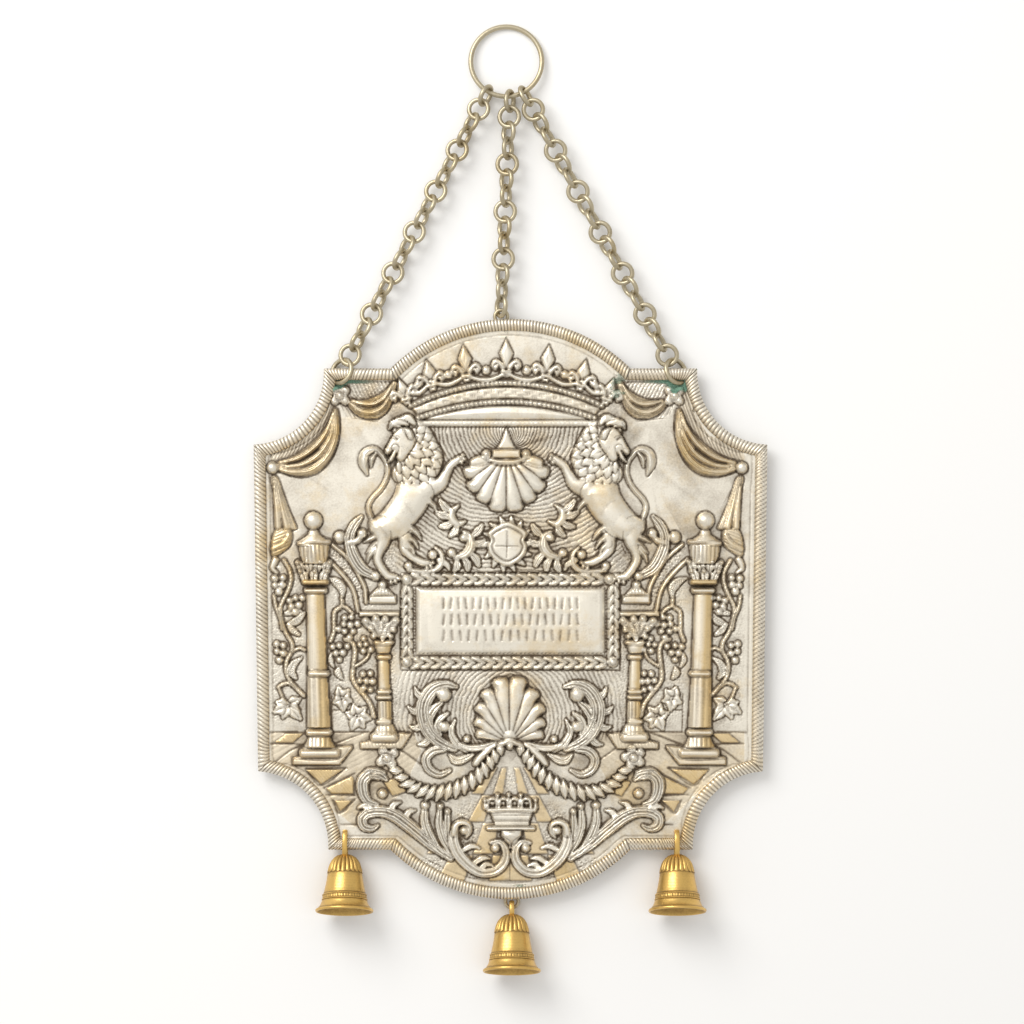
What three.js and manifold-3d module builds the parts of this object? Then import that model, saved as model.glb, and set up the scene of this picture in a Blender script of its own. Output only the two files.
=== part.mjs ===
// Silver shield, embossed and chased, with three chains and three bells.
// It lies on its back: +X to its right, +Y to its top, +Z out of its face. Millimetres.
import * as THREE from 'three';
import { mergeVertices } from 'three/addons/utils/BufferGeometryUtils.js';
import Module from 'manifold-3d';

const wasm = await Module();
wasm.setup();

// Driving sizes: the sheet and its outline
const plateWidth = 231;
const plateHeight = 261;
const footWidth = 227;
const sheetThickness = 1.2;
const shoulderOuter = 84;
const shoulderInner = 54;
const archRise = 22.3;
const sideTop = 74;
const sideBottom = -73;
const biteDepth = 9.8;
const footShoulderInset = 2;
const borderWidth = 5.2;
const borderHeight = 2.1;

// Driving sizes: chains, ring and eyes
const linkRadius = 4.4;
const linkWire = 1.8;
const linkBite = 0.1;
const cornerRadius = 5.7;
const linkSides = 6;
const ringRadius = 16.2;
const ringWire = 1.9;
const ringHeight = 246.8;
const ringShift = -1.9;
const ringBelowChains = 1;
const hookSlack = 0.25;
const holeInLeft = 5;
const holeInRight = 6.5;
const eyeRadius = 2.9;
const eyeWire = 1.6;

// Driving sizes: bells, clappers and their hangers
const bellHeight = 26;
const bellLipRadius = 13;
const bellCrownRadius = 7.9;
const bellWall = 0.9;
const bellSides = 12;
const hangerWire = 1.5;
const hangerInLeft = 9.6;
const hangerInRight = 9.2;
const clapperRadius = 2.8;
const clapperLength = 17;

// Clearances: between pieces that touch, and round a wire that goes through a hole
const gap = 0.3;
const holeClearance = 0.35;

// Relief heights above the sheet
const columnDepth = 0.62;
const figureHeight = 4.2;
const shellHeight = 3;
const clothHeight = 3;
const leafHeight = 2.6;
const frameHeight = 2.4;
const grapeHeight = 2;
const pavingHeight = 0.5;
const sink = 0.6;

// The sheet's middle plane lies level with the chains, whose links stand on the ground
const chainLevel = linkRadius + linkWire / 2;
const backLevel = chainLevel - sheetThickness / 2;
const faceLevel = backLevel + sheetThickness;

// The relief is drawn on a sheet of these sizes, and is stretched with the sheet: across by
// as much as the sheet is at that height, from its lower shoulders to its upper ones
const DRAWN = {
  width: 231, foot: 227, height: 261, shoulder: 84, sideTop: 74, sideBottom: -73, arch: 22.3,
};
const upScale = plateHeight / DRAWN.height;
const shoulderScale = shoulderOuter / DRAWN.shoulder;
const acrossStations = [
  [-DRAWN.height / 2 + DRAWN.arch, shoulderScale],
  [DRAWN.sideBottom, footWidth / DRAWN.foot],
  [DRAWN.sideTop, plateWidth / DRAWN.width],
  [DRAWN.height / 2 - DRAWN.arch, shoulderScale],
];
const reliefScale = Math.min(upScale, ...acrossStations.map(([, scale]) => scale));

function acrossScale(y) {
  const next = acrossStations.findIndex(([station]) => station > y);
  if (next < 1) return shoulderScale;
  const [[low, before], [high, after]] = acrossStations.slice(next - 1, next + 1);
  return before + ((after - before) * (y - low)) / (high - low);
}

const degrees = THREE.MathUtils.degToRad;
const vec = (x, y, z) => new THREE.Vector3(x, y, z);

// Finishes
const finish = {
  silver: { color: 0xd8d0c0, roughness: 0.35, metalness: 1 },
  parcelGilt: { color: 0xd6c49c, roughness: 0.35, metalness: 1 },
  wire: { color: 0xb3a58c, roughness: 0.4, metalness: 1 },
  gilt: { color: 0xd9a441, roughness: 0.25, metalness: 1 },
  iron: { color: 0x6f6a62, roughness: 0.6, metalness: 1 },
};

// A closed geometry as a solid that can be joined and cut, its faces turned outwards
function toSolid(geometry) {
  const bare = geometry.clone();
  bare.deleteAttribute('normal');
  bare.deleteAttribute('uv');
  const merged = mergeVertices(bare, 1e-4);
  const place = merged.attributes.position;
  const corners = [];
  let volume = 0;
  for (let i = 0; i < merged.index.count; i += 3) {
    const [a, b, c] = [0, 1, 2].map((k) => merged.index.getX(i + k));
    if (a === b || b === c || c === a) continue;
    const [p, q, r] = [a, b, c].map((k) => vec().fromBufferAttribute(place, k));
    volume += p.dot(q.cross(r));
    corners.push(a, b, c);
  }
  if (volume < 0) corners.reverse();
  const mesh = new wasm.Mesh({
    numProp: 3,
    vertProperties: new Float32Array(place.array),
    triVerts: new Uint32Array(corners),
  });
  return new wasm.Manifold(mesh);
}

function toGeometry(solid) {
  const mesh = solid.getMesh();
  const geometry = new THREE.BufferGeometry();
  geometry.setAttribute('position', new THREE.BufferAttribute(new Float32Array(mesh.vertProperties), 3));
  geometry.setIndex(new THREE.BufferAttribute(new Uint32Array(mesh.triVerts), 1));
  return geometry;
}

const join = (solids) => solids.reduce((whole, next) => whole.add(next));

// A skin over rings of points, each ring with the same number of points
function skin(rings, closed = false) {
  const size = rings[0].length;
  const count = rings.length;
  const corners = [];
  for (let i = 0; i < (closed ? count : count - 1); i++) {
    const next = (i + 1) % count;
    for (let j = 0; j < size; j++) {
      const k = (j + 1) % size;
      corners.push(i * size + j, i * size + k, next * size + k);
      corners.push(i * size + j, next * size + k, next * size + j);
    }
  }
  const last = (count - 1) * size;
  for (let j = 1; !closed && j < size - 1; j++) {
    corners.push(0, j + 1, j);
    corners.push(last, last + j, last + j + 1);
  }
  const geometry = new THREE.BufferGeometry().setFromPoints(rings.flat());
  geometry.setIndex(corners);
  return geometry;
}

// Cross-sections of raised work: shares of the half width and of the height
const ROUND = [[-1, 0], [-0.6, 0.95], [0.6, 0.95], [1, 0]];
const ROOF = [[-1, 0], [0, 1], [1, 0]];

// Each solid of raised work is kept here, to be joined to the sheet
const raised = [];

const drawnPoint = ([x, y]) => vec(x * acrossScale(y), y * upScale, 0);

// A raised stroke along a drawn path of [x, y, half width]; it is lower where it is narrow
function stroke(path, height, section = ROOF) {
  const line = new THREE.CatmullRomCurve3(path.map(drawnPoint), false, 'centripetal');
  const widest = Math.max(...path.map((station) => station[2]));
  const rings = [];
  for (let i = 0; i < path.length; i++) {
    const half = path[i][2] * reliefScale;
    const rise = height * (0.4 + (0.6 * path[i][2]) / widest);
    const centre = line.getPoint(i / (path.length - 1));
    const along = line.getTangent(i / (path.length - 1));
    const across = vec(-along.y, along.x, 0);
    const profile = [[-1, -sink / rise], ...section, [1, -sink / rise]];
    rings.push(profile.map(([a, up]) => vec().copy(centre)
      .addScaledVector(across, a * half).setZ(faceLevel + up * rise)));
  }
  raised.push(toSolid(skin(rings)));
}

// A turned post, seen half out of the sheet: profile rows of [y, half width]
function post(top, foot, profile) {
  const rings = profile.map(([y, half]) => {
    const share = (y - foot[1]) / (top[1] - foot[1]);
    const x = THREE.MathUtils.lerp(foot[0], top[0], share);
    const rise = half * columnDepth * reliefScale;
    const rows = [[-1, -sink / rise], ...ROUND, [1, -sink / rise]];
    return rows.map(([a, up]) => drawnPoint([x + a * half, y]).setZ(faceLevel + up * rise));
  });
  raised.push(toSolid(skin(rings)));
}

// A round boss: a grape, pearl, petal or ball
function boss([x, y], radius, height) {
  const sides = radius > 3 ? 6 : 5;
  const flat = radius > 3 ? 0.55 : 0;
  const rings = [[1, -sink], [1, 0], [flat, height]].map(([share, up]) => {
    const ring = [];
    for (let i = 0; i < sides; i++) {
      const turn = (i / sides) * 2 * Math.PI;
      const reach = share * radius * reliefScale;
      ring.push(drawnPoint([x, y]).add(vec(Math.cos(turn) * reach, Math.sin(turn) * reach, 0))
        .setZ(faceLevel + up));
    }
    return ring;
  });
  raised.push(toSolid(skin(rings)));
}

// Points of an outline moved inwards by a distance, with mitred corners
function inset(points, distance) {
  return points.map((point, i) => {
    const before = points[(i + points.length - 1) % points.length];
    const after = points[(i + 1) % points.length];
    const one = point.clone().sub(before).normalize();
    const two = after.clone().sub(point).normalize();
    const inward = new THREE.Vector2(-one.y - two.y, one.x + two.x);
    return point.clone().addScaledVector(inward, distance / (1 + one.dot(two)));
  });
}

// A raised flat area with a sloped edge
function field(drawn, height, slope = 0.6) {
  const base = drawn.map(drawnPoint).map((p) => new THREE.Vector2(p.x, p.y));
  if (THREE.ShapeUtils.isClockWise(base)) base.reverse();
  const levels = [[base, -sink], [base, 0], [inset(base, slope * reliefScale), height]];
  const rings = levels.map(([points, up]) => points.map((p) => vec(p.x, p.y, faceLevel + up)));
  const geometry = skin(rings);
  const size = base.length;
  const walls = Array.from(geometry.index.array).slice(0, 2 * size * 6);
  const top = THREE.ShapeUtils.triangulateShape(levels[2][0], []);
  const foot = THREE.ShapeUtils.triangulateShape(base, []);
  top.forEach(([a, b, c]) => walls.push(a + 2 * size, b + 2 * size, c + 2 * size));
  foot.forEach(([a, b, c]) => walls.push(c, b, a));
  geometry.setIndex(walls);
  raised.push(toSolid(geometry));
}

// Sheet outline: each stretch from one corner to the next, with its rise outwards
const halfTop = plateWidth / 2;
const halfFoot = footWidth / 2;
const crest = plateHeight / 2;
const stretches = [
  { name: 'arch_bottom', from: [-shoulderInner, -crest + archRise], bulge: archRise, steps: 9 },
  { name: 'shoulder_bottom_right', from: [shoulderInner, -crest + archRise], bulge: 0, steps: 1 },
  {
    name: 'bite_bottom_right',
    from: [shoulderOuter - footShoulderInset, -crest + archRise],
    bulge: -biteDepth,
    steps: 5,
  },
  { name: 'side_right', from: [halfFoot, sideBottom], bulge: 0, steps: 1 },
  { name: 'bite_top_right', from: [halfTop, sideTop], bulge: -biteDepth, steps: 5 },
  { name: 'shoulder_top_right', from: [shoulderOuter, crest - archRise], bulge: 0, steps: 1 },
  { name: 'arch_top', from: [shoulderInner, crest - archRise], bulge: archRise, steps: 9 },
  { name: 'shoulder_top_left', from: [-shoulderInner, crest - archRise], bulge: 0, steps: 1 },
  { name: 'bite_top_left', from: [-shoulderOuter, crest - archRise], bulge: -biteDepth, steps: 5 },
  { name: 'side_left', from: [-halfTop, sideTop], bulge: 0, steps: 1 },
  { name: 'bite_bottom_left', from: [-halfFoot, sideBottom], bulge: -biteDepth, steps: 5 },
  {
    name: 'shoulder_bottom_left',
    from: [footShoulderInset - shoulderOuter, -crest + archRise],
    bulge: 0,
    steps: 1,
  },
];

// Points along a stretch, on the arc that rises by its bulge over the straight line
function along(stretch, next) {
  const start = new THREE.Vector2(...stretch.from);
  const end = new THREE.Vector2(...next.from);
  const chord = end.clone().sub(start);
  const outward = new THREE.Vector2(chord.y, -chord.x).normalize();
  const rise = Math.abs(stretch.bulge);
  const points = [];
  for (let i = 0; i < stretch.steps; i++) {
    const share = i / stretch.steps;
    const point = start.clone().addScaledVector(chord, share);
    if (rise > 0) {
      const radius = (chord.lengthSq() / 4 + rise * rise) / (2 * rise);
      const half = Math.asin(chord.length() / 2 / radius);
      const turn = half * (2 * share - 1);
      const middle = start.clone().addScaledVector(chord, 0.5);
      point.copy(middle).addScaledVector(chord.clone().normalize(), radius * Math.sin(turn));
      const lift = radius * Math.cos(turn) - (radius - rise);
      point.addScaledVector(outward, Math.sign(stretch.bulge) * lift);
    }
    points.push(point);
  }
  return points;
}

const outline = [];
stretches.forEach((stretch, i) => {
  stretch.first = outline.length;
  outline.push(...along(stretch, stretches[(i + 1) % stretches.length]));
});

const innerOutline = inset(outline, borderWidth);

// One fluted border strip, on the rim between two corners
function borderStrip(stretch) {
  const rings = [];
  for (let i = 0; i <= stretch.steps; i++) {
    const here = (stretch.first + i) % outline.length;
    const outer = outline[here].clone();
    const inner = innerOutline[here].clone();
    const near = (here + (i === 0 ? 1 : outline.length - 1)) % outline.length;
    if (i === 0 || i === stretch.steps) {
      const step = outline[near].clone().sub(outline[here]).normalize().multiplyScalar(gap / 2);
      outer.add(step);
      inner.add(step);
    }
    const rows = [[0, 0], [0.12, 0.8], [0.5, 1], [0.88, 0.8], [1, 0]];
    rings.push(rows.map(([share, up]) => {
      const point = outer.clone().lerp(inner, share);
      return vec(point.x, point.y, faceLevel + gap + up * borderHeight);
    }));
  }
  return skin(rings);
}

// A wire ring of a few straight sides, in its own plane, with the middle of a side at both
// ends of its X axis. Its wire is three-cornered, with one edge turned inwards.
const EDGE_REACH = 1.15;

function wireRing(radius, wire, sides) {
  const corner = radius / Math.cos(Math.PI / sides);
  const geometry = new THREE.TorusGeometry(corner, (-EDGE_REACH * wire) / 2, 3, sides);
  geometry.rotateZ(Math.PI / sides);
  return geometry;
}

// A chain of touching links from the ring to the place that holds its last link
const LINK_ROLLS = [12, 60, 112];

function chainLinks(start, end, lastRoll, lastRadius) {
  const way = end.clone().sub(start);
  const inward = ((EDGE_REACH * linkWire) / 2) * Math.cos(Math.PI / linkSides);
  const extra = lastRadius - linkRadius;
  const steps = Math.round((way.length() - extra) / (2 * (linkRadius - inward)));
  const step = (way.length() - extra) / steps;
  const radius = (step - linkBite) / 2 + inward;
  const heading = Math.atan2(way.y, way.x);
  const links = [];
  for (let i = 0; i < steps; i++) {
    const centre = start.clone().addScaledVector(way, (i * step) / way.length());
    const roll = degrees(LINK_ROLLS[(i + 2) % LINK_ROLLS.length]);
    links.push({ centre, roll, heading, radius });
  }
  links.push({ centre: end.clone(), roll: degrees(lastRoll), heading, radius: radius + extra });
  return links;
}

function linkSolid(link, extra = 0) {
  const geometry = wireRing(link.radius, linkWire + 2 * extra, linkSides);
  geometry.rotateX(link.roll);
  geometry.rotateZ(link.heading);
  geometry.translate(link.centre.x, link.centre.y, link.centre.z);
  return toSolid(geometry);
}

// The ring leans on the first links: low at its far side, raised where it goes through them
const ringCentre = vec(ringShift, ringHeight, 0);
const ringLow = ringWire / 2;
const ringRaised = chainLevel - ringBelowChains;
const ringTilt = Math.asin((ringRaised - ringLow) / (2 * ringRadius));

function hangingRing() {
  const geometry = new THREE.TorusGeometry(ringRadius, ringWire / 2, 4, 16);
  geometry.rotateX(-ringTilt);
  geometry.translate(ringCentre.x, ringCentre.y, (ringLow + ringRaised) / 2);
  return geometry;
}

// First link: hooked over the ring at an angle from its lowest point
function hookedOnRing(angle, towards) {
  const foot = vec(Math.sin(angle), -Math.cos(angle), 0);
  const onRing = ringCentre.clone().addScaledVector(foot, ringRadius).setZ(chainLevel);
  const way = towards.clone().sub(onRing).normalize();
  const hang = linkRadius - linkWire / 2 - ringWire / 2 - gap - hookSlack;
  return onRing.addScaledVector(way, hang);
}

// Last link of an outer chain: round the sheet's edge and through a hole behind the border
function throughHole(hole, from) {
  const way = from.clone().sub(hole).setZ(0).normalize();
  return hole.clone().addScaledVector(way, cornerRadius);
}

const holeInset = borderWidth + linkWire / 2;
const holeLeft = vec(-shoulderOuter + holeInLeft, crest - archRise - holeInset, chainLevel);
const holeRight = vec(shoulderOuter - holeInRight, crest - archRise - holeInset, chainLevel);
const eyeLevel = backLevel - gap - eyeWire / 2;
const eyeOut = eyeRadius - eyeWire;
const eyeTop = vec(-4.2, crest + eyeOut, eyeLevel);
const eyeBottom = vec(0.6, -crest - eyeOut, eyeLevel);

const ringFoot = ringCentre.clone().add(vec(0, -ringRadius, 0));
const lastLeft = throughHole(holeLeft, ringFoot);
const lastRight = throughHole(holeRight, ringFoot);
const lastMiddle = eyeTop.clone().add(vec(0, eyeRadius + 1.5, 0)).setZ(chainLevel);
const chains = {
  chain_left: chainLinks(hookedOnRing(degrees(-31), lastLeft), lastLeft, 42, cornerRadius),
  chain_middle: chainLinks(hookedOnRing(degrees(6), lastMiddle), lastMiddle, 64, linkRadius),
  chain_right: chainLinks(hookedOnRing(degrees(29), lastRight), lastRight, 138, cornerRadius),
};

// Relief, drawn for the left half and mirrored to the right about an axis
const HAND_AXIS = -1.5;
const COLUMN_AXIS = -0.5;

function mirrored(side, axis) {
  const mirror = (x) => (side < 0 ? x : 2 * axis - x);
  return {
    path: (rows) => rows.map(([x, y, half]) => [mirror(x), y, half]),
    spot: (x, y) => [mirror(x), y],
  };
}

// A flower of round petals about a button
function rosette(centre, petals, size) {
  const outline = [];
  for (let i = 0; i < petals * 2; i++) {
    const turn = (i * Math.PI) / petals + Math.PI / 4;
    const reach = i % 2 === 0 ? size : 0.55 * size;
    outline.push([centre[0] + reach * Math.cos(turn), centre[1] + reach * Math.sin(turn)]);
  }
  field(outline, 1.5);
  boss(centre, 1.9, 2.6);
}

function clothWork(side) {
  const { path, spot } = mirrored(side, HAND_AXIS);
  rosette(spot(-76.4, 95.7), 4, 4.6);
  stroke(path([[-72.6, 93.2, 1.2], [-68.6, 90.5, 3.4], [-62.5, 90.4, 4.6], [-56.5, 93.4, 4.2],
    [-53, 98, 2.2], [-51.6, 102.2, 0.9]]), clothHeight, ROUND);
  stroke(path([[-78.8, 91.2, 1], [-79.2, 84.5, 2.6], [-81.2, 77, 4.6], [-86.2, 69.6, 6.2],
    [-93.6, 65, 5.6], [-100.4, 63.6, 3.2], [-104.4, 64, 1.8]]), clothHeight, ROUND);
  boss(spot(-107.1, 64), 2.9, 2.6);
  stroke(path([[-106.4, 60, 0.8], [-104.4, 50, 2.4], [-101, 36.4, 4.6]]), 2.2);
  stroke(path([[-102.6, 35.6, 3.4], [-102.8, 30, 3.2], [-106.4, 24.4, 1.2]]), 1.8);
}

// Large column with a covered urn on its leafy capital
function largeColumn(side) {
  const { path, spot } = mirrored(side, COLUMN_AXIS);
  post(spot(-88.7, 40), spot(-85.7, -70), [[35.9, 1.4], [30.2, 6.8], [20.4, 4.8],
    [13.9, 6.1], [7, 5.4], [6.4, 4.1], [-26.6, 4.4], [-28.8, 5.8], [-31, 4.9],
    [-53.2, 5.4], [-55.2, 6.6], [-57.1, 5], [-62.2, 7.2], [-62.8, 9.6], [-66.6, 9.2]]);
  boss(spot(-88.7, 40), 4, 3.4);
  [-94.4, -82.6].forEach((x) => boss(spot(x, 18.6), 2.6, 3.2));
  field(path([[-98, -66.8], [-98, -70], [-76.7, -70], [-71.1, -62.4], [-76, -62.4]]), 2.2);
}

// Small column beside the framed panel, under a stepped roof with a ball
function smallColumn(side) {
  const { path, spot } = mirrored(side, COLUMN_AXIS);
  boss(spot(-57.7, 11), 1.9, 2.6);
  post(spot(-57.2, 8.6), spot(-57, 2.8), [[8.6, 1.2], [6.4, 4.4], [6.1, 5.8], [2.9, 5.8]]);
  stroke(path([[-67, -2.6, 1], [-50.4, -2.6, 1]]), 1.6);
  post(spot(-57.6, -4), spot(-56.2, -60), [[-4, 7.4], [-13.3, 3.8], [-15, 4.8],
    [-19.8, 2.9], [-21.4, 3.7], [-23, 2.4], [-36.2, 2.7], [-38.8, 3.9], [-41.4, 2.9],
    [-49, 3.3], [-50.6, 4.1], [-51.8, 3.4], [-56, 6.4], [-60, 6]]);
  field(path([[-67.5, -60], [-67.5, -62.8], [-49.8, -62.8], [-44.2, -55.4], [-49, -55.4]]), 1.8);
}

// Arch between the columns, with the scrolled bracket that leans on it
function archAndBracket(side) {
  const { path, spot } = mirrored(side, HAND_AXIS);
  stroke(path([[-80, 29.4, 0.9], [-73.7, 23.4, 0.9], [-69, 16.4, 0.9], [-65.2, 4, 0.9]]), 1.3);
  stroke(path([[-81, 20, 0.9], [-75, 14.6, 0.9], [-70.6, 7, 0.9], [-68.4, -1.6, 0.9]]), 1.3);
  boss(spot(-76.8, 32.3), 2.8, 2.8);
  stroke(path([[-66.9, 41.4, 1.6], [-70.4, 37.4, 2], [-71.4, 30.6, 2.6], [-69.6, 23, 2.9],
    [-66.2, 17.4, 2.4], [-61.6, 14.6, 2.2]]), leafHeight);
  boss(spot(-66.6, 34.2), 2.3, 2.6);
}

// Rampant lion, its head turned outwards
function lion(side) {
  const { path, spot } = mirrored(side, HAND_AXIS);
  stroke(path([[-58.6, 35.6, 4.6], [-54.6, 40, 7], [-48, 48, 7.6], [-42.6, 56, 8]]), figureHeight, ROUND);
  stroke(path([[-36, 53.6, 4], [-31, 57.4, 3.4], [-27.4, 64, 1.9], [-23, 67.6, 1.7]]), figureHeight);
  stroke(path([[-58.4, 38, 4.8], [-57.4, 29.6, 2.6], [-59.4, 22.4, 1.9], [-57.4, 16.6, 1.7],
    [-52.2, 13.2, 1.4]]), figureHeight);
  stroke(path([[-48.6, 36.6, 4.4], [-47.6, 28.6, 2.5], [-45.6, 24.2, 1.8], [-37.4, 20.6, 1.6]]),
    figureHeight);
  stroke(path([[-62.4, 41, 1.2], [-63.4, 46.4, 1.1], [-59, 54, 1.1], [-55.6, 60.4, 1.1],
    [-57.4, 69, 1.2], [-62.4, 72, 1.8], [-66.2, 67, 2.4], [-64.9, 60.8, 0.8]]), 2.6);
  field(path([[-53.4, 81], [-48.9, 85.5], [-43, 85.6], [-37.3, 82.4], [-32.5, 74.7], [-30.4, 68],
    [-32.5, 61], [-36.3, 57.2], [-44, 54.6], [-52.8, 58.8], [-51.8, 65], [-47.4, 70]]), 3.4, 1.4);
  stroke(path([[-46, 78.6, 4.4], [-51.6, 75, 4.4], [-54.4, 70.2, 2]]), figureHeight + 1.4, ROUND);
  stroke(path([[-48.4, 68, 1.2], [-52.6, 66.2, 1.1]]), figureHeight);
  const locks = [[-41, 81, -140], [-35.6, 67, -80], [-43, 68, -100]];
  locks.forEach(([x, y, turn]) => {
    const dx = 4.4 * Math.cos(degrees(turn));
    const dy = 4.4 * Math.sin(degrees(turn));
    stroke(path([[x - dx, y - dy, 2.8], [x + dx, y + dy, 1.4]]), figureHeight + 0.6);
  });
}

// Scrolls between the lions and under their feet
function upperScrolls(side) {
  const { path, spot } = mirrored(side, HAND_AXIS);
  boss(spot(-34.9, 24.4), 2.1, 2.2);
  stroke(path([[-33, 26.6, 1], [-30.9, 22, 1.4], [-34.4, 17.6, 1.5], [-41, 16.6, 1.4],
    [-46, 18.6, 1.1]]), 2.2);
  stroke(path([[-23.9, 46, 1], [-26.4, 42.4, 1.5], [-24.4, 38.6, 1.4], [-20.6, 39.4, 1]]), 2.2);
  [[-30, 46.6], [-31, 42], [-28, 37.4]].forEach((at) => boss(spot(...at), 1.8, 1.6));
  stroke(path([[-21, 34.4, 1.2], [-18.2, 30.6, 1.7], [-19.4, 25.4, 1.8], [-24.6, 23.4, 1.3]]), 2.2);
  boss(spot(-26.5, 25.3), 2, 2.2);
}

// Grapevines beside and between the columns
function vines(side) {
  const { path, spot } = mirrored(side, HAND_AXIS);
  stroke(path([[-100.6, 22, 0.9], [-99.6, 11, 0.9], [-104.6, 2, 0.9], [-98, -17, 1.1],
    [-99.6, -32, 1.2]]), 1.6);
  stroke(path([[-76.4, 8.6, 0.9], [-78, -2, 0.9], [-81.6, -14.6, 0.9]]), 1.6);
  stroke(path([[-76, -14.6, 0.8], [-70, -19, 1], [-71, -31, 1.2], [-62, -47, 1.6]]), 1.6);
  const bunches = [[-104.2, 12.6], [-96.8, 3.4], [-103.8, -17.4], [-71.8, -5.4], [-76, -18.4],
    [-65.4, -16.8], [-65, -31]];
  bunches.forEach(([x, y]) => {
    boss(spot(x - 1.7, y + 1.6), 3, grapeHeight);
    boss(spot(x + 1.4, y - 1.6), 3, grapeHeight);
  });
  [[-100.4, -44.6], [-69, -48]].forEach(([x, y]) => (
    field(path([[-1, 5], [1.6, 4], [6, 2.4], [3.6, -1], [4, -4], [0, -6], [-3, -2.6], [-6, -0.6],
      [-3.6, 2.4]].map(([dx, dy]) => [x + dx, y + dy])), 1.5)));
}

// Acanthus and scrolls of the foot
function lowerScrolls(side) {
  const { path, spot } = mirrored(side, 0);
  stroke(path([[-25.6, -35.4, 1.6], [-33, -36.4, 3], [-39, -45, 2.6], [-35.4, -56.4, 2.4],
    [-26, -62.6, 2]]), leafHeight + 0.8);
  stroke(path([[-32.6, -43.4, 1.4], [-36, -47.4, 2], [-33.4, -55, 1.6], [-25, -60.4, 0.9]]), leafHeight);
  boss(spot(-29.8, -53), 2.6, 3);
  stroke(path([[-25, -53, 0.9], [-24.6, -58.6, 1.6], [-19, -63, 1.6], [-11, -61.6, 1.4]]), leafHeight);
  boss(spot(-19.6, -58.4), 1.8, 2.6);
  stroke(path([[-13, -65.4, 1.4], [-24, -64.4, 1.6], [-33, -64, 2.2], [-37, -68.6, 2],
    [-32.6, -73.6, 1.4], [-28, -72, 0.8]]), leafHeight);
  // Rope garland from the shell to the rosette
  const rope = [[-3.4, -62.6], [-11, -70.4], [-21, -78.6], [-32, -82.4], [-43, -79.8],
    [-53, -70.4]];
  stroke(path(rope.map(([x, y], i) => [x, y, 1.5 + 1.1 * Math.sin((Math.PI * i) / 5)])), 3);
  rosette(spot(-55.4, -67.2), 5, 5.8);
  // Long leaf with a curled end, under a second curl
  stroke(path([[-57.4, -96.8, 0.9], [-65, -97.4, 1.6], [-63.6, -90.6, 2.1], [-53, -91.4, 2.8],
    [-38, -103.4, 2.6], [-22, -114.6, 1.4]]), leafHeight + 0.6);
  stroke(path([[-59, -73.8, 1.4], [-64.6, -75.6, 3], [-66.4, -81.6, 2.2], [-62, -87.4, 1.2]]), 3);
  boss(spot(-57.6, -83.4), 2.4, 2.8);
  stroke(path([[-38, -88, 1.4], [-37.4, -96, 1.8], [-32, -107, 1.4]]), 2.2);
  stroke(path([[-31.6, -89.6, 1.2], [-31.8, -98, 1.9], [-27.4, -108, 1.4]]), 2.2);
  // Volutes that carry the vase
  stroke(path([[-24.4, -99, 1.6], [-25.2, -105, 2.1], [-20.6, -113.6, 2.1], [-11, -118, 2.2],
    [-3.4, -113.4, 2.2], [-1.8, -107.6, 1.6], [-4.6, -104.6, 1.3]]), 3.2);
  boss(spot(-6.7, -107.6), 2.2, 3);
  stroke(path([[-24.6, -100, 1.4], [-23, -96.6, 1.3], [-19.6, -96.6, 1.2]]), 3);
  boss(spot(-20.8, -99.4), 2.2, 3);
  // Paving laid towards the middle
  const slabs = [
    [[-106, -60], [-98, -60], [-93.4, -56], [-101, -56]],
    [[-92, -71.6], [-74, -71.4], [-85.4, -79.4]],
    [[-83, -80.8], [-71, -74], [-70.6, -83.6], [-80.6, -83.4]],
    [[-57, -78], [-50.4, -75.4], [-45.4, -82.4], [-53, -84]],
  ];
  slabs.forEach((slab) => field(path(slab), pavingHeight, 0.4));
}

// Crown over the shell
function crownWork() {
  const arc = (rise, half, drop, width) => {
    const rows = [];
    for (let i = -2; i <= 2; i++) {
      const share = i / 2;
      rows.push([-1.9 + share * half, rise - drop * share * share, width]);
    }
    return rows;
  };
  stroke(arc(101.8, 43, 9.4, 1.1), 2.4);
  stroke(arc(93.5, 37.4, 8, 1.1), 2.4);
  stroke([[-42, 83.7, 1.3], [38.2, 83.7, 1.3]], 2);
  field([[-38, 85.6], [-24.8, 88.6], [-1.9, 91.2], [21, 88.6], [34.2, 85.6]], 1.2);
  const tips = [[0, 121.5, 111, 0], [18.4, 119.3, 109.5, 8], [34.4, 113.1, 105.4, 20],
    [46.2, 102, 97.4, 28]];
  tips.forEach(([x, top, knot, lean]) => {
    (x === 0 ? [1] : [-1, 1]).forEach((side) => {
      const tilt = degrees(lean) * side * -1;
      const turned = (dx, dy) => [
        -1.9 + side * x + dx * Math.cos(tilt) - dy * Math.sin(tilt),
        knot + dx * Math.sin(tilt) + dy * Math.cos(tilt)];
      stroke([[...turned(0, -7), 1], [...turned(0, 2.6), 2.4], [...turned(0, top - knot), 0.4]],
        2.4);
      stroke([[...turned(-4.8, -1), 1.9], [...turned(4.8, -1), 1.9]], 2.2);
    });
  });
  [7.6, 22.6, 36.8].forEach((x, i) => {
    [-1, 1].forEach((side) => boss([-1.9 + side * x, 106.3 - 0.9 * i - 2.6 * i * i / 2], 2.1, 2.2));
  });
}

// A fan of ribs from a hinge, each as long as its angle asks
function shell(hinge, ribs, reachAt, widest) {
  for (let i = 0; i < ribs; i++) {
    const share = (2 * i) / (ribs - 1) - 1;
    const { turn, reach } = reachAt(share);
    const way = [Math.sin(turn), Math.cos(turn)];
    const at = (part, half) => [hinge[0] + way[0] * reach * part, hinge[1] + way[1] * reach * part, half];
    stroke([at(0.06, 0.4), at(0.9, widest), at(1, widest * 0.6)], shellHeight);
  }
}

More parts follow.
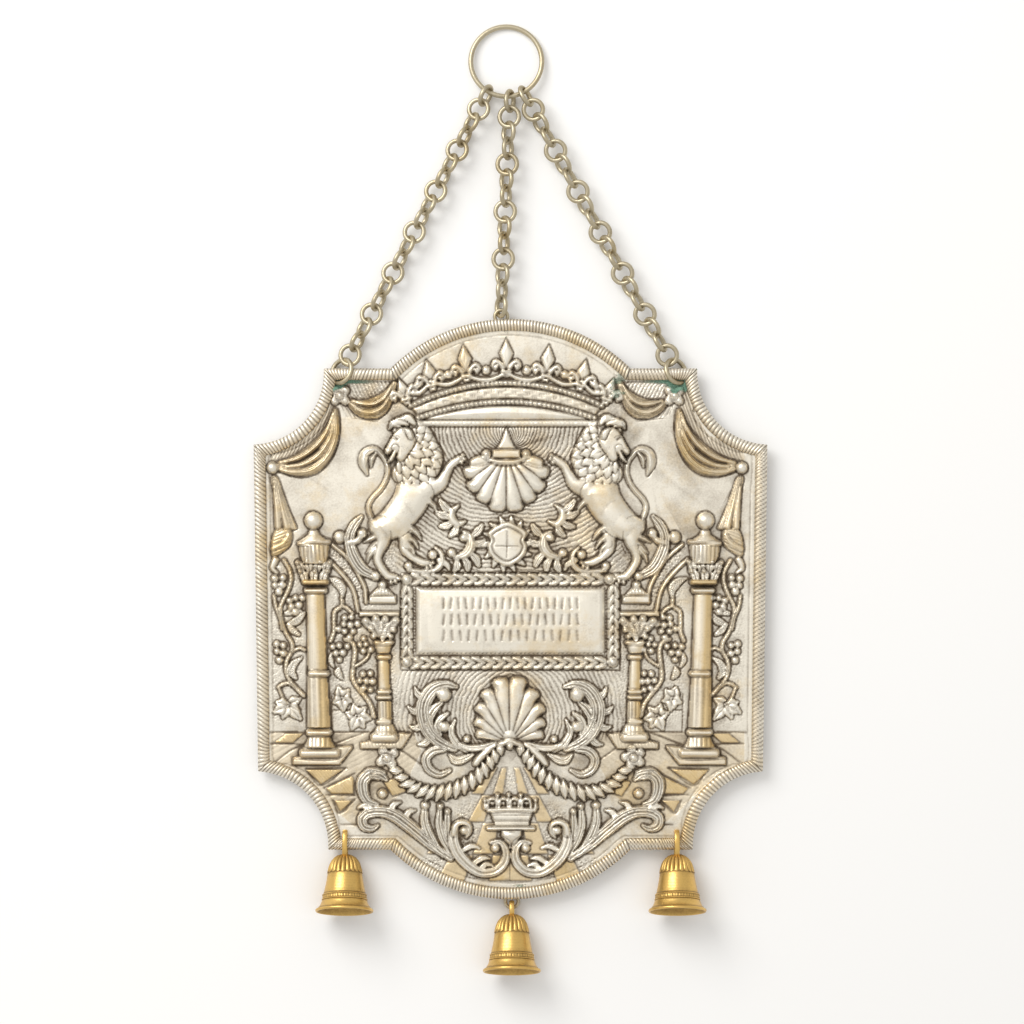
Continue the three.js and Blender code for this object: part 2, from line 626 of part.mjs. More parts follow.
function middleWork() {
  // Upper shell, hanging from its bar under a spire
  shell([-1.9, 71], 7, (share) => ({
    turn: Math.PI - degrees(62) * share, reach: 27.5 - 6.5 * share * share,
  }), 3.6);
  stroke([[-10.6, 69.6, 1.6], [-1.9, 69.6, 2], [6.8, 69.6, 1.6]], 3.6);
  [-10.9, 7.1].forEach((x) => boss([x, 69.4], 2.5, 4));
  field([[-6.4, 72.2], [2.6, 72.2], [-2, 82]], 0.8, 0.5);
  // Small shield under the shell
  field([[-1.4, 38.6], [-9.7, 34], [-9.9, 27.7], [-7.5, 22.9], [-1.4, 19.8], [4.7, 22.9],
    [7.1, 27.7], [6.9, 34]], 2, 0.8);
  // Framed panel: plaited leaf border, corner buttons and a swelling field
  const plait = (from, to, leaves) => {
    const rows = [];
    for (let i = 0; i <= leaves * 2; i++) {
      const share = i / (leaves * 2);
      const wide = i % 2 === 0 ? 2.4 : 1.5;
      rows.push([from[0] + (to[0] - from[0]) * share, from[1] + (to[1] - from[1]) * share, wide]);
    }
    stroke(rows, frameHeight);
  };
  plait([-43.6, 13.2], [43, 13.2], 5);
  plait([-43.6, -24], [43.4, -24], 5);
  plait([-46.6, -21.2], [-46.6, 10.4], 2);
  plait([45.4, -21.2], [45.4, 10.4], 2);
  [[-46.5, 13.1], [44.8, 13.4], [-46.5, -24], [46, -23.8]].forEach((at) => boss(at, 2.3, 2.8));
  field([[-41.4, -20.4], [41.2, -20.4], [41.2, 9.4], [-41.4, 9.4]], 1.6, 2.4);
  // Rows of plain upright strokes where an inscription would be
  for (let i = 0; i < 6; i++) {
    stroke([[-30 + 12 * i, -14.4, 1.2], [-30 + 12 * i, 3.2, 1.2]], 2.1);
  }
  // Lower shell, standing on its hinge, with rays under it
  shell([-0.4, -60], 7, (share) => ({
    turn: degrees(84) * share, reach: 29.6 - 14 * share * share,
  }), 4);
  [-12, 12].forEach((turn) => {
    const way = [Math.sin(degrees(turn)), -Math.cos(degrees(turn))];
    stroke([[-0.2 + way[0] * 8, -60 + way[1] * 8, 0.4], [-0.2 + way[0] * 24, -60 + way[1] * 24, 1]],
      0.8);
  });
  // Small crown on a vase between the volutes
  field([[-9.6, -89.6], [10.4, -89.6], [7.4, -97], [-6.6, -97]], 2.2);
  stroke([[-10.6, -89.4, 1.2], [11.4, -89.4, 1.2]], 2.8);
  [-7.6, 0.4, 8.4].forEach((x) => boss([x, -86.4], 2.2, 2.2));
  post([0.4, -98], [0.4, -107], [[-98, 4.6], [-100, 4.4], [-104.6, 3.6], [-108, 1]]);
}

// Bell, axis along +Y, with its mouth at y = 0: flared lip, knurled band, waist and domed crown
const bellWaist = bellCrownRadius - 0.3;
const bellBand = { radius: bellCrownRadius + 1.45, foot: 0.26 * bellHeight, top: 0.37 * bellHeight };
const bellEave = { radius: bellCrownRadius + 0.2, height: 0.69 * bellHeight };

function bellGeometry() {
  const lip = bellLipRadius;
  const rows = [
    [lip, 0], [lip * 0.83, 3.2], [bellBand.radius, bellBand.foot], [bellBand.radius, bellBand.top],
    [bellWaist, 0.66 * bellHeight], [bellEave.radius, bellEave.height],
    [bellCrownRadius * 0.84, 0.91 * bellHeight], [0, bellHeight],
    [0, bellHeight - bellWall], [bellCrownRadius * 0.7, 0.9 * bellHeight - 0.3 * bellWall],
    [bellWaist - bellWall, 0.66 * bellHeight], [bellBand.radius - bellWall - 0.6, bellBand.top],
    [lip * 0.83 - bellWall, 2.8], [lip - bellWall, 0], [lip, 0],
  ];
  return new THREE.LatheGeometry(rows.map(([r, y]) => new THREE.Vector2(r, y)), bellSides);
}

// A clapper hangs from the crown: a rod with a ball near the mouth
function clapperGeometry() {
  const top = bellHeight - bellWall - 3.6;
  const ball = top - clapperLength;
  const rod = 0.7;
  const rows = [[0, ball - clapperRadius], [0.75 * clapperRadius, ball - 0.66 * clapperRadius],
    [clapperRadius, ball], [0.75 * clapperRadius, ball + 0.66 * clapperRadius],
    [rod, ball + clapperRadius], [rod, top], [0, top]];
  return new THREE.LatheGeometry(rows.map(([r, y]) => new THREE.Vector2(r, y)), 6);
}

// A lying bell touches the ground with its lip and the eave of its crown
const bellLean = Math.atan((bellLipRadius - bellEave.radius) / bellEave.height);

function layBell(geometry, crown) {
  const reach = bellHeight * Math.cos(bellLean);
  geometry.rotateX(-bellLean);
  geometry.translate(crown.x, crown.y - reach, bellLipRadius * Math.cos(bellLean));
  return geometry;
}

// A flat oval loop of wire that stands across the sheet's edge
function hangerSolid(loop, extra = 0) {
  const rings = [];
  const turns = 8;
  for (let i = 0; i < turns; i++) {
    const turn = (i / turns) * 2 * Math.PI;
    const out = vec(0, Math.cos(turn) / loop.long, Math.sin(turn) / loop.high).normalize();
    const middle = vec(loop.x, loop.y + loop.long * Math.cos(turn), loop.z + loop.high * Math.sin(turn));
    const ring = [];
    for (let j = 0; j < 4; j++) {
      const round = (j / 4) * 2 * Math.PI;
      const reach = hangerWire / 2 + extra;
      ring.push(middle.clone().addScaledVector(out, reach * Math.cos(round))
        .add(vec(reach * Math.sin(round), 0, 0)));
    }
    rings.push(ring);
  }
  return toSolid(skin(rings, true));
}

const crownLevel = bellLipRadius * Math.cos(bellLean) - bellHeight * Math.sin(bellLean);
const borderTop = faceLevel + gap + borderHeight;
const loopTop = borderTop + gap + hangerWire / 2 + 0.6;
const loopLow = backLevel - gap - hangerWire / 2 - 0.3;
const shoulderFoot = -crest + archRise;
const crownGap = 2.2;

function cornerLoop(x) {
  const top = shoulderFoot + borderWidth + hangerWire / 2 + holeClearance + 2;
  const low = shoulderFoot - crownGap - 2.2;
  return {
    x, y: (top + low) / 2, z: (loopTop + loopLow) / 2,
    long: (top - low) / 2, high: (loopTop - loopLow) / 2,
  };
}

function eyeLoop(eye) {
  const top = -crest - gap - hangerWire / 2 - 0.3;
  const low = eye.y - eyeRadius - crownGap - 2.6;
  const high = 3.4;
  return { x: eye.x, y: (top + low) / 2, z: high + hangerWire / 2 + 0.6, long: (top - low) / 2, high };
}

const hangers = {
  left: cornerLoop(-shoulderOuter + hangerInLeft),
  middle: eyeLoop(eyeBottom),
  right: cornerLoop(shoulderOuter - hangerInRight),
};

// Assembly
const shield = new THREE.Group();

function add(name, geometry, look) {
  const mesh = new THREE.Mesh(geometry, new THREE.MeshStandardMaterial(finish[look]));
  mesh.name = name;
  shield.add(mesh);
}

const lastLinks = [chains.chain_left.at(-1), chains.chain_right.at(-1)];
const passing = [
  ...lastLinks.map((link) => linkSolid(link, holeClearance)),
  hangerSolid(hangers.left, holeClearance),
  hangerSolid(hangers.right, holeClearance),
];
const cutAll = (solid) => passing.reduce((rest, wire) => rest.subtract(wire), solid);

const sheet = new THREE.ExtrudeGeometry(new THREE.Shape(outline), {
  depth: sheetThickness, bevelEnabled: false,
});
sheet.translate(0, 0, backLevel);
[-1, 1].forEach((side) => {
  clothWork(side);
  archAndBracket(side);
  largeColumn(side);
  smallColumn(side);
  lion(side);
  upperScrolls(side);
  vines(side);
  lowerScrolls(side);
});
crownWork();
middleWork();
add('plate', toGeometry(cutAll(join([toSolid(sheet), ...raised]))), 'silver');

stretches.forEach((stretch) => {
  add(`border_${stretch.name}`, toGeometry(cutAll(toSolid(borderStrip(stretch)))), 'parcelGilt');
});

add('hanging_ring', hangingRing(), 'wire');
Object.entries(chains).forEach(([name, links]) => {
  add(name, toGeometry(join(links.map((link) => linkSolid(link)))), 'wire');
});

Object.entries({ eye_top: eyeTop, eye_bottom: eyeBottom }).forEach(([name, centre]) => {
  const eye = wireRing(eyeRadius, eyeWire, 8);
  eye.rotateZ(Math.PI / 2);
  eye.translate(centre.x, centre.y, centre.z);
  add(name, eye, 'wire');
});

Object.entries(hangers).forEach(([name, loop]) => {
  add(`hanger_${name}`, toGeometry(hangerSolid(loop)), 'gilt');
  const crown = vec(loop.x, loop.y - loop.long + crownGap, crownLevel);
  const bell = toSolid(layBell(bellGeometry(), crown));
  add(`bell_${name}`, toGeometry(bell.subtract(hangerSolid(loop, holeClearance))), 'gilt');
  add(`clapper_${name}`, layBell(clapperGeometry(), crown), 'iron');
});

// The origin is under the middle of the whole, on the ground
shield.updateMatrixWorld(true);
const box = new THREE.Box3().setFromObject(shield, true);
const middle = box.getCenter(new THREE.Vector3());
shield.position.set(-middle.x, -middle.y, -box.min.z);

const model = new THREE.Group();
model.add(shield);

export default model;
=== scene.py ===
"""Silver shield with its chains and bells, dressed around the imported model.

Sizes and drawn places are in millimetres on the sheet: X to its right, Y to its top, from
the middle of the sheet, and Z up from the ground. place() turns them into the frame's metres.
"""

import math
from functools import partial

import bpy
import numpy as np
from bpy.props import FloatProperty, FloatVectorProperty, IntProperty, PointerProperty
from mathutils import Matrix, Vector


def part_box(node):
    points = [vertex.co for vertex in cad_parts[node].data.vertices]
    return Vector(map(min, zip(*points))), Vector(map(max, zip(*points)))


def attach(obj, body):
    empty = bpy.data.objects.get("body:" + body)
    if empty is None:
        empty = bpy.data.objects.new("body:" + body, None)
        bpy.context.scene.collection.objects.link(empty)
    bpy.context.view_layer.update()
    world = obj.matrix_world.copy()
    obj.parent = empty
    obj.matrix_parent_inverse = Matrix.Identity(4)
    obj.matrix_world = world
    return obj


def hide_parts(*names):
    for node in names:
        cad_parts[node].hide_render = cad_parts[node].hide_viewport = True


bl_info = {
    "name": "Chased silver shield",
    "version": (1, 0, 0),
    "blender": (4, 5, 0),
    "location": "View3D > Sidebar > Shield",
    "description": "Models an embossed silver shield with its chains and bells",
    "category": "Add Mesh",
}

MM = 0.001
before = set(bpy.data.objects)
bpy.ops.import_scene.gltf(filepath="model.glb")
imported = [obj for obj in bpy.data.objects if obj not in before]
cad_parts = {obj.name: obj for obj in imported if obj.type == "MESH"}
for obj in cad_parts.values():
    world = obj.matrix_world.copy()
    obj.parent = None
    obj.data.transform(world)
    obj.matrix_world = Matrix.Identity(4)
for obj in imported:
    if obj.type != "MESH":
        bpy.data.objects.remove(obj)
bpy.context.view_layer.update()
SHEET_LOW, SHEET_HIGH = (np.array(corner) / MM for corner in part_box("plate"))

# Sheet, as in the part: its outline, its levels over the ground and its border
PLATE_WIDTH = 231.0
PLATE_HEIGHT = 261.0
FOOT_WIDTH = 227.0
SHOULDER_OUTER = 84.0
SHOULDER_INNER = 54.0
FOOT_SHOULDER_INSET = 2.0
ARCH_RISE = 22.3
SIDE_TOP = 74.0
SIDE_BOTTOM = -73.0
BITE_DEPTH = 9.8
SHEET_THICKNESS = 1.2
CHAIN_LEVEL = 5.3
BACK_LEVEL = CHAIN_LEVEL - SHEET_THICKNESS / 2
FACE_LEVEL = BACK_LEVEL + SHEET_THICKNESS
BORDER_WIDTH = 5.2
BORDER_HEIGHT = 2.1
GAP = 0.3

# Where the sheet's middle and the ground of these sizes lie in the frame
MIDDLE = (SHEET_LOW[:2] + SHEET_HIGH[:2]) / 2
LIFT = SHEET_LOW[2] - BACK_LEVEL


def place(points):
    """Drawn places in mm as points of the frame in metres"""
    shift = np.array([MIDDLE[0], MIDDLE[1], LIFT])
    return (np.asarray(points, dtype=float) + shift) * MM


# Drawing on the sheet


def curve(points, closed=False, spacing=0.8):
    """Points along a smooth curve through drawn ones; further numbers of a point ease alike"""
    drawn = np.array(points, dtype=float)
    count = len(drawn)
    spans = range(count if closed else count - 1)
    taken = []
    for i in spans:
        here, there = drawn[i], drawn[(i + 1) % count]
        before = drawn[(i - 1) % count] if closed or i > 0 else 2 * here - there
        after = drawn[(i + 2) % count] if closed or i + 2 < count else 2 * there - here
        length = math.dist(here[:2], there[:2]) + 1e-6
        lead = math.dist(before[:2], here[:2]) + 1e-6
        trail = math.dist(there[:2], after[:2]) + 1e-6
        leave = (there - before) * length / (lead + length)
        arrive = (after - here) * length / (length + trail)
        t = np.arange(0, 1, min(0.5, spacing / length))[:, None]
        taken.append((2 * t**3 - 3 * t**2 + 1) * here + (t**3 - 2 * t**2 + t) * leave
                     + (3 * t**2 - 2 * t**3) * there + (t**3 - t**2) * arrive)
    if not closed:
        taken.append(drawn[-1:])
    return np.concatenate(taken)


def arc(start, end, bulge, steps):
    """Points from start towards end on the arc that rises by its bulge to the right of the way"""
    start, end = np.array(start, dtype=float), np.array(end, dtype=float)
    share = np.arange(steps)[:, None] / steps
    if bulge == 0:
        return start + (end - start) * share
    chord = end - start
    length = math.hypot(*chord)
    ahead = chord / length
    outward = np.array([ahead[1], -ahead[0]])
    rise = abs(bulge)
    radius = (length**2 / 4 + rise**2) / (2 * rise)
    turn = math.asin(length / 2 / radius) * (2 * share - 1)
    lift = radius * np.cos(turn) - (radius - rise)
    return (start + end) / 2 + ahead * radius * np.sin(turn) + outward * lift * math.copysign(1, bulge)


HALF_TOP = PLATE_WIDTH / 2
HALF_FOOT = FOOT_WIDTH / 2
CREST = PLATE_HEIGHT / 2
SHOULDER = CREST - ARCH_RISE
# Each stretch of the rim: its name, where it starts, and how far it bulges outwards
STRETCHES = [
    ("arch_bottom", (-SHOULDER_INNER, -SHOULDER), ARCH_RISE),
    ("shoulder_bottom_right", (SHOULDER_INNER, -SHOULDER), 0),
    ("bite_bottom_right", (SHOULDER_OUTER - FOOT_SHOULDER_INSET, -SHOULDER), -BITE_DEPTH),
    ("side_right", (HALF_FOOT, SIDE_BOTTOM), 0),
    ("bite_top_right", (HALF_TOP, SIDE_TOP), -BITE_DEPTH),
    ("shoulder_top_right", (SHOULDER_OUTER, SHOULDER), 0),
    ("arch_top", (SHOULDER_INNER, SHOULDER), ARCH_RISE),
    ("shoulder_top_left", (-SHOULDER_INNER, SHOULDER), 0),
    ("bite_top_left", (-SHOULDER_OUTER, SHOULDER), -BITE_DEPTH),
    ("side_left", (-HALF_TOP, SIDE_TOP), 0),
    ("bite_bottom_left", (-HALF_FOOT, SIDE_BOTTOM), -BITE_DEPTH),
    ("shoulder_bottom_left", (-SHOULDER_OUTER + FOOT_SHOULDER_INSET, -SHOULDER), 0),
]


def stretch_points(index, steps):
    """Points of one stretch of the rim, up to the corner where the next one starts"""
    start, bulge = STRETCHES[index][1:]
    end = STRETCHES[(index + 1) % len(STRETCHES)][1]
    return arc(start, end, bulge, steps)


RIM = np.concatenate([stretch_points(i, 48) for i in range(len(STRETCHES))])


def inside_of(outline, x, y):
    """Which places lie inside a closed outline"""
    x, y = np.broadcast_arrays(x, y)
    inside = np.zeros(x.shape, dtype=bool)
    for a, b in zip(outline, np.roll(outline, -1, axis=0)):
        crosses = (a[1] > y) != (b[1] > y)
        if crosses.any():
            reach = a[0] + (y - a[1]) * (b[0] - a[0]) / (b[1] - a[1] + 1e-12)
            inside ^= crosses & (x < reach)
    return inside


def faded(value, low, high):
    """0 below low, 1 above high, eased between"""
    share = np.clip((value - low) / (high - low), 0, 1)
    return share * share * (3 - 2 * share)


class Stamp:
    """The grid window round a drawn line, with each place's distance, side and way along it"""

    def __init__(self, sheet, line, reach, closed=False):
        low = np.floor((line[:, :2].min(axis=0) - reach - sheet.low) / sheet.step).astype(int)
        high = np.ceil((line[:, :2].max(axis=0) + reach - sheet.low) / sheet.step).astype(int) + 1
        low, high = np.maximum(low, 0), np.maximum(high, 0)
        self.window = (slice(low[1], high[1]), slice(low[0], high[0]))
        self.x = sheet.x[self.window[1]][None, :]
        self.y = sheet.y[self.window[0]][:, None]
        shape = (self.y.shape[0], self.x.shape[1])
        self.distance = np.full(shape, 1e6)
        self.offset = np.zeros(shape)
        self.along = np.zeros(shape)
        self.half = np.full(shape, line[0, 2] if line.shape[1] > 2 else 1.0)
        ends = np.roll(line, -1, axis=0) if closed else line[1:]
        travelled = 0.0
        for a, b in zip(line, ends):
            travelled += self._segment(a, b, reach, travelled)

    def _segment(self, a, b, reach, travelled):
        """Takes in one straight bit of the line where it is the nearest; returns its length"""
        xs, ys = self.x[0], self.y[:, 0]
        columns = slice(*np.searchsorted(xs, [min(a[0], b[0]) - reach, max(a[0], b[0]) + reach]))
        rows = slice(*np.searchsorted(ys, [min(a[1], b[1]) - reach, max(a[1], b[1]) + reach]))
        way = b[:2] - a[:2]
        length = math.hypot(*way)
        if length < 1e-9:
            return 0.0
        dx = self.x[:, columns] - a[0]
        dy = self.y[rows] - a[1]
        share = np.clip((dx * way[0] + dy * way[1]) / length**2, 0, 1)
        distance = np.hypot(dx - share * way[0], dy - share * way[1])
        area = (rows, columns)
        closer = distance < self.distance[area]
        side = np.sign(dy * way[0] - dx * way[1])
        self.distance[area] = np.where(closer, distance, self.distance[area])
        self.offset[area] = np.where(closer, distance * side, self.offset[area])
        self.along[area] = np.where(closer, travelled + share * length, self.along[area])
        if len(a) > 2:
            half = a[2] + share * (b[2] - a[2])
            self.half[area] = np.where(closer, half, self.half[area])
        return length


def chasing(stamp, lines):
    """Phase of the chased lines of a stroke: along it, aslant or as leaf veins"""
    kind, pitch = lines[0], lines[1]
    if kind == "along":
        return stamp.offset / pitch + 0.5
    if kind == "slant":
        return (stamp.along + 0.9 * stamp.offset) / pitch
    return (stamp.along - 1.1 * stamp.distance) / pitch


# Height of a stroke's section, from its middle line at 0 to its edge at 1
FORMS = {
    "round": lambda r: np.sqrt(np.clip(1 - r * r, 0, 1)),
    "ridge": lambda r: np.clip(1 - r, 0, 1) ** 0.8,
    "band": lambda r: np.clip((1 - r) * 3.2, 0, 1) ** 0.6,
    "leaf": lambda r: np.sqrt(np.clip(1 - r**4, 0, 1)) * (0.62 + 0.38 * r),
}

# Depths in mm: of hatched ground, and of the deepest chased line
HATCH_SINK = 0.14
LINE_DEPTH = 0.3
# How far a patch's edge is told from its inside, and how far an outline's trench reaches
PATCH_REACH = 14.0
TRENCH_REACH = 1.6


class ChasedSheet:
    """Heights over the flat sheet and finish marks, on a grid of drawn places"""

    MARKS = ("height", "gilt", "dark", "phase", "lines", "crust", "swirl", "matt")

    def __init__(self, step):
        self.step = step
        self.low = np.array([-PLATE_WIDTH / 2, -PLATE_HEIGHT / 2])
        self.x = np.arange(self.low[0], PLATE_WIDTH / 2 + step / 2, step)
        self.y = np.arange(self.low[1], PLATE_HEIGHT / 2 + step / 2, step)
        for mark in self.MARKS:
            setattr(self, mark, np.zeros((len(self.y), len(self.x))))

    def _raise(self, stamp, inside, height, edge, lines, phase, gilt):
        """Lifts a place to a height where it is over what lies there, and marks it afresh"""
        window = stamp.window
        over = inside & (height > self.height[window] + 0.02)
        depth = np.zeros(over.shape)
        if lines:
            depth = lines[-1] * faded(edge, 0.1, 0.9)
            height = height - LINE_DEPTH * depth * (0.5 - 0.5 * np.cos(2 * np.pi * phase))
            self.phase[window] = np.where(over, phase, self.phase[window])
        for kind, value in (("height", height), ("lines", depth), ("dark", 0), ("gilt", gilt),
                            ("swirl", 0), ("matt", 0)):
            field = getattr(self, kind)
            field[window] = np.where(over, value, field[window])

    def _outline(self, stamp, outside, top, cut):
        """Sinks a trench just outside raised work, darkened with tarnish and painted shade"""
        window = stamp.window
        trench = np.exp(-(((outside - 0.3) / 0.4) ** 2)) * (outside > 0)
        trench = trench * (self.height[window] < top)
        self.height[window] -= cut * trench
        self.dark[window] = np.maximum(self.dark[window], 0.75 * trench)
        self.lines[window] *= 1 - trench

    def stroke(self, points, height, form="round", lines=None, gilt=0.0, cut=0.4, on=0.0):
        """A raised stroke through points of (x, y, half width), lower where it is narrow"""
        line = curve(points)
        line[:, 2] = np.maximum(line[:, 2], 0.3)
        widest = line[:, 2].max()
        stamp = Stamp(self, line, widest + TRENCH_REACH)
        share = stamp.distance / stamp.half
        rise = height * (0.4 + 0.6 * stamp.half / widest)
        self._outline(stamp, stamp.distance - stamp.half, on + height, cut)
        phase = chasing(stamp, lines) if lines else 0
        body = on + rise * FORMS[form](np.minimum(share, 1))
        self._raise(stamp, share < 1, body, stamp.half - stamp.distance, lines, phase, gilt)

    def patch(self, points, height, edge=1.2, smooth=True, lines=None, gilt=0.0, cut=0.4, on=0.0,
              swell=0.0):
        """A raised area with a rounded edge; it may swell towards its middle"""
        line = curve(points, closed=True) if smooth else np.array(points, dtype=float)
        stamp = Stamp(self, line[:, :2], PATCH_REACH, closed=True)
        inside = inside_of(line[:, :2], stamp.x, stamp.y)
        deep = np.minimum(stamp.distance, PATCH_REACH)
        body = on + height * np.sqrt(np.clip(1 - (1 - np.minimum(deep / edge, 1)) ** 2, 0, 1))
        body = body + swell * faded(deep, 0, 8)
        self._outline(stamp, np.where(inside, -1, stamp.distance), on + height, cut)
        phase = lines[0](stamp.x, stamp.y) if lines else 0
        self._raise(stamp, inside, body, deep, lines, phase, gilt)

    def hatch(self, points, phase, depth, gilt=0.0, smooth=False):
        """Chased lines on the ground of an area"""
        line = curve(points, closed=True) if smooth else np.array(points, dtype=float)
        stamp = Stamp(self, line[:, :2], 2.0, closed=True)
        inside = inside_of(line[:, :2], stamp.x, stamp.y)
        near_edge = np.where(inside, np.minimum(stamp.distance, 3), 0)
        window = stamp.window
        self.height[window] -= HATCH_SINK * inside
        self.phase[window] = np.where(inside, phase(stamp.x, stamp.y), self.phase[window])
        self.lines[window] = np.where(inside, depth * faded(near_edge, 0, 0.8), self.lines[window])
        self.gilt[window] = np.where(inside, gilt, self.gilt[window])

    def ground(self, points, kind, strength):
        """An area of worked ground, swirled with a tracer or matted with a punch"""
        line = np.array(points, dtype=float)
        stamp = Stamp(self, line[:, :2], 2.0, closed=True)
        inside = inside_of(line[:, :2], stamp.x, stamp.y)
        edge = faded(np.where(inside, np.minimum(stamp.distance, 3), 0), 0, 1.4)
        field = getattr(self, kind)
        field[stamp.window] = np.maximum(field[stamp.window], strength * edge)

    def boss(self, centre, radius, height, gilt=0.0, cut=0.45, on=0.0):
        """A round knob"""
        stamp = Stamp(self, np.array([[*centre, radius], [centre[0] + 1e-3, centre[1], radius]]),
                      radius + TRENCH_REACH)
        share = stamp.distance / radius
        self._outline(stamp, stamp.distance - radius, on + height, cut)
        body = on + height * np.sqrt(np.clip(1 - np.minimum(share, 1) ** 2, 0, 1))
        self._raise(stamp, share < 1, body, radius - stamp.distance, None, 0, gilt)

    def groove(self, points, half=0.4, depth=0.35, dark=0.8):
        """A chased line, pressed into whatever it crosses and darkened with tarnish and painted shade"""
        line = curve(points, spacing=0.6)
        stamp = Stamp(self, line[:, :2], 3 * half + 0.6)
        trench = np.exp(-((stamp.distance / half) ** 2))
        self.height[stamp.window] -= depth * trench
        self.dark[stamp.window] = np.maximum(self.dark[stamp.window], dark * trench)

    def stain(self, centre, radius, strength, seed):
        """A ragged spot of crust"""
        rng = np.random.default_rng(seed)
        spots = [(centre[0], centre[1], radius)]
        for _ in range(6):
            turn, way = rng.uniform(0, 2 * math.pi), rng.uniform(0.5, 1.1) * radius
            spots.append((centre[0] + way * math.cos(turn), centre[1] + way * math.sin(turn),
                          radius * rng.uniform(0.25, 0.5)))
        for x, y, reach in spots:
            stamp = Stamp(self, np.array([[x, y], [x + 1e-3, y]]), reach + 1)
            mark = strength * (1 - faded(stamp.distance, 0.5 * reach, reach))
            self.crust[stamp.window] = np.maximum(self.crust[stamp.window], mark)


def blurred(field, reach):
    """A field averaged over about its reach, counted in grid steps"""
    for _ in range(2):
        for axis in (0, 1):
            size = 2 * reach + 1
            padded = np.pad(field, [(reach + 1, reach) if a == axis else (0, 0) for a in (0, 1)],
                            mode="edge")
            total = np.cumsum(padded, axis=axis)
            upper = np.take(total, np.arange(size, total.shape[axis]), axis=axis)
            lower = np.take(total, np.arange(0, total.shape[axis] - size), axis=axis)
            field = (upper - lower) / size
    return field


class Hand:
    """Works the left of a sheet or, mirrored about an axis, its right"""

    def __init__(self, sheet, side, axis):
        self.sheet = sheet
        self.side = side
        self.axis = axis

    def at(self, x, y):
        return (x if self.side < 0 else 2 * self.axis - x, y)

    def placed(self, points):
        return [(*self.at(p[0], p[1]), *p[2:]) for p in points]

    def stroke(self, points, *how, **more):
        self.sheet.stroke(self.placed(points), *how, **more)

    def patch(self, points, *how, **more):
        self.sheet.patch(self.placed(points), *how, **more)

    def hatch(self, points, *how, **more):
        self.sheet.hatch(self.placed(points), *how, **more)

    def ground(self, points, *how):
        self.sheet.ground(self.placed(points), *how)

    def groove(self, points, *how):
        self.sheet.groove(self.placed(points), *how)

    def boss(self, centre, *how, **more):
        self.sheet.boss(self.at(*centre), *how, **more)


def widened(points, halves):
    """Drawn points, each with the half width that a stroke has there"""
    return [(*p, half) for p, half in zip(points, halves)]


# Relief of the sheet: the upright lines about which its left and right are mirrored
HAND_AXIS = -1.5
COLUMN_AXIS = -0.5
CROWN_AXIS = -1.9


def fan(hinge, count):
    """Phase of lines that run out from a hinge, so many to a turn"""
    return lambda x, y: count * (np.arctan2(x - hinge[0], y - hinge[1]) / (2 * np.pi))


def slanted(angle, pitch):
    """Phase of straight lines at an angle from upright"""
    turn = math.radians(angle)
    return lambda x, y: (x * math.cos(turn) + y * math.sin(turn)) / pitch


def rosette(sheet, centre, petals, size, turn=0.6):
    """Petals round a knob"""
    for i in range(petals):
        way = turn + 2 * math.pi * i / petals
        across, up = math.cos(way), math.sin(way)
        sheet.stroke([(centre[0] + 0.25 * size * across, centre[1] + 0.25 * size * up, 0.5 * size),
                      (centre[0] + 0.72 * size * across, centre[1] + 0.72 * size * up, 0.42 * size)],
                     1.9, lines=("leaf", 1.2, 0.3))
    sheet.boss(centre, 0.36 * size, 2.8)


def grapes(hand, spots, radius=1.6):
    """A bunch of grapes of slightly unlike sizes"""
    for i, spot in enumerate(spots):
        hand.boss(spot, radius * (1 + 0.08 * math.sin(5 * i)), 1.9, cut=0.35)


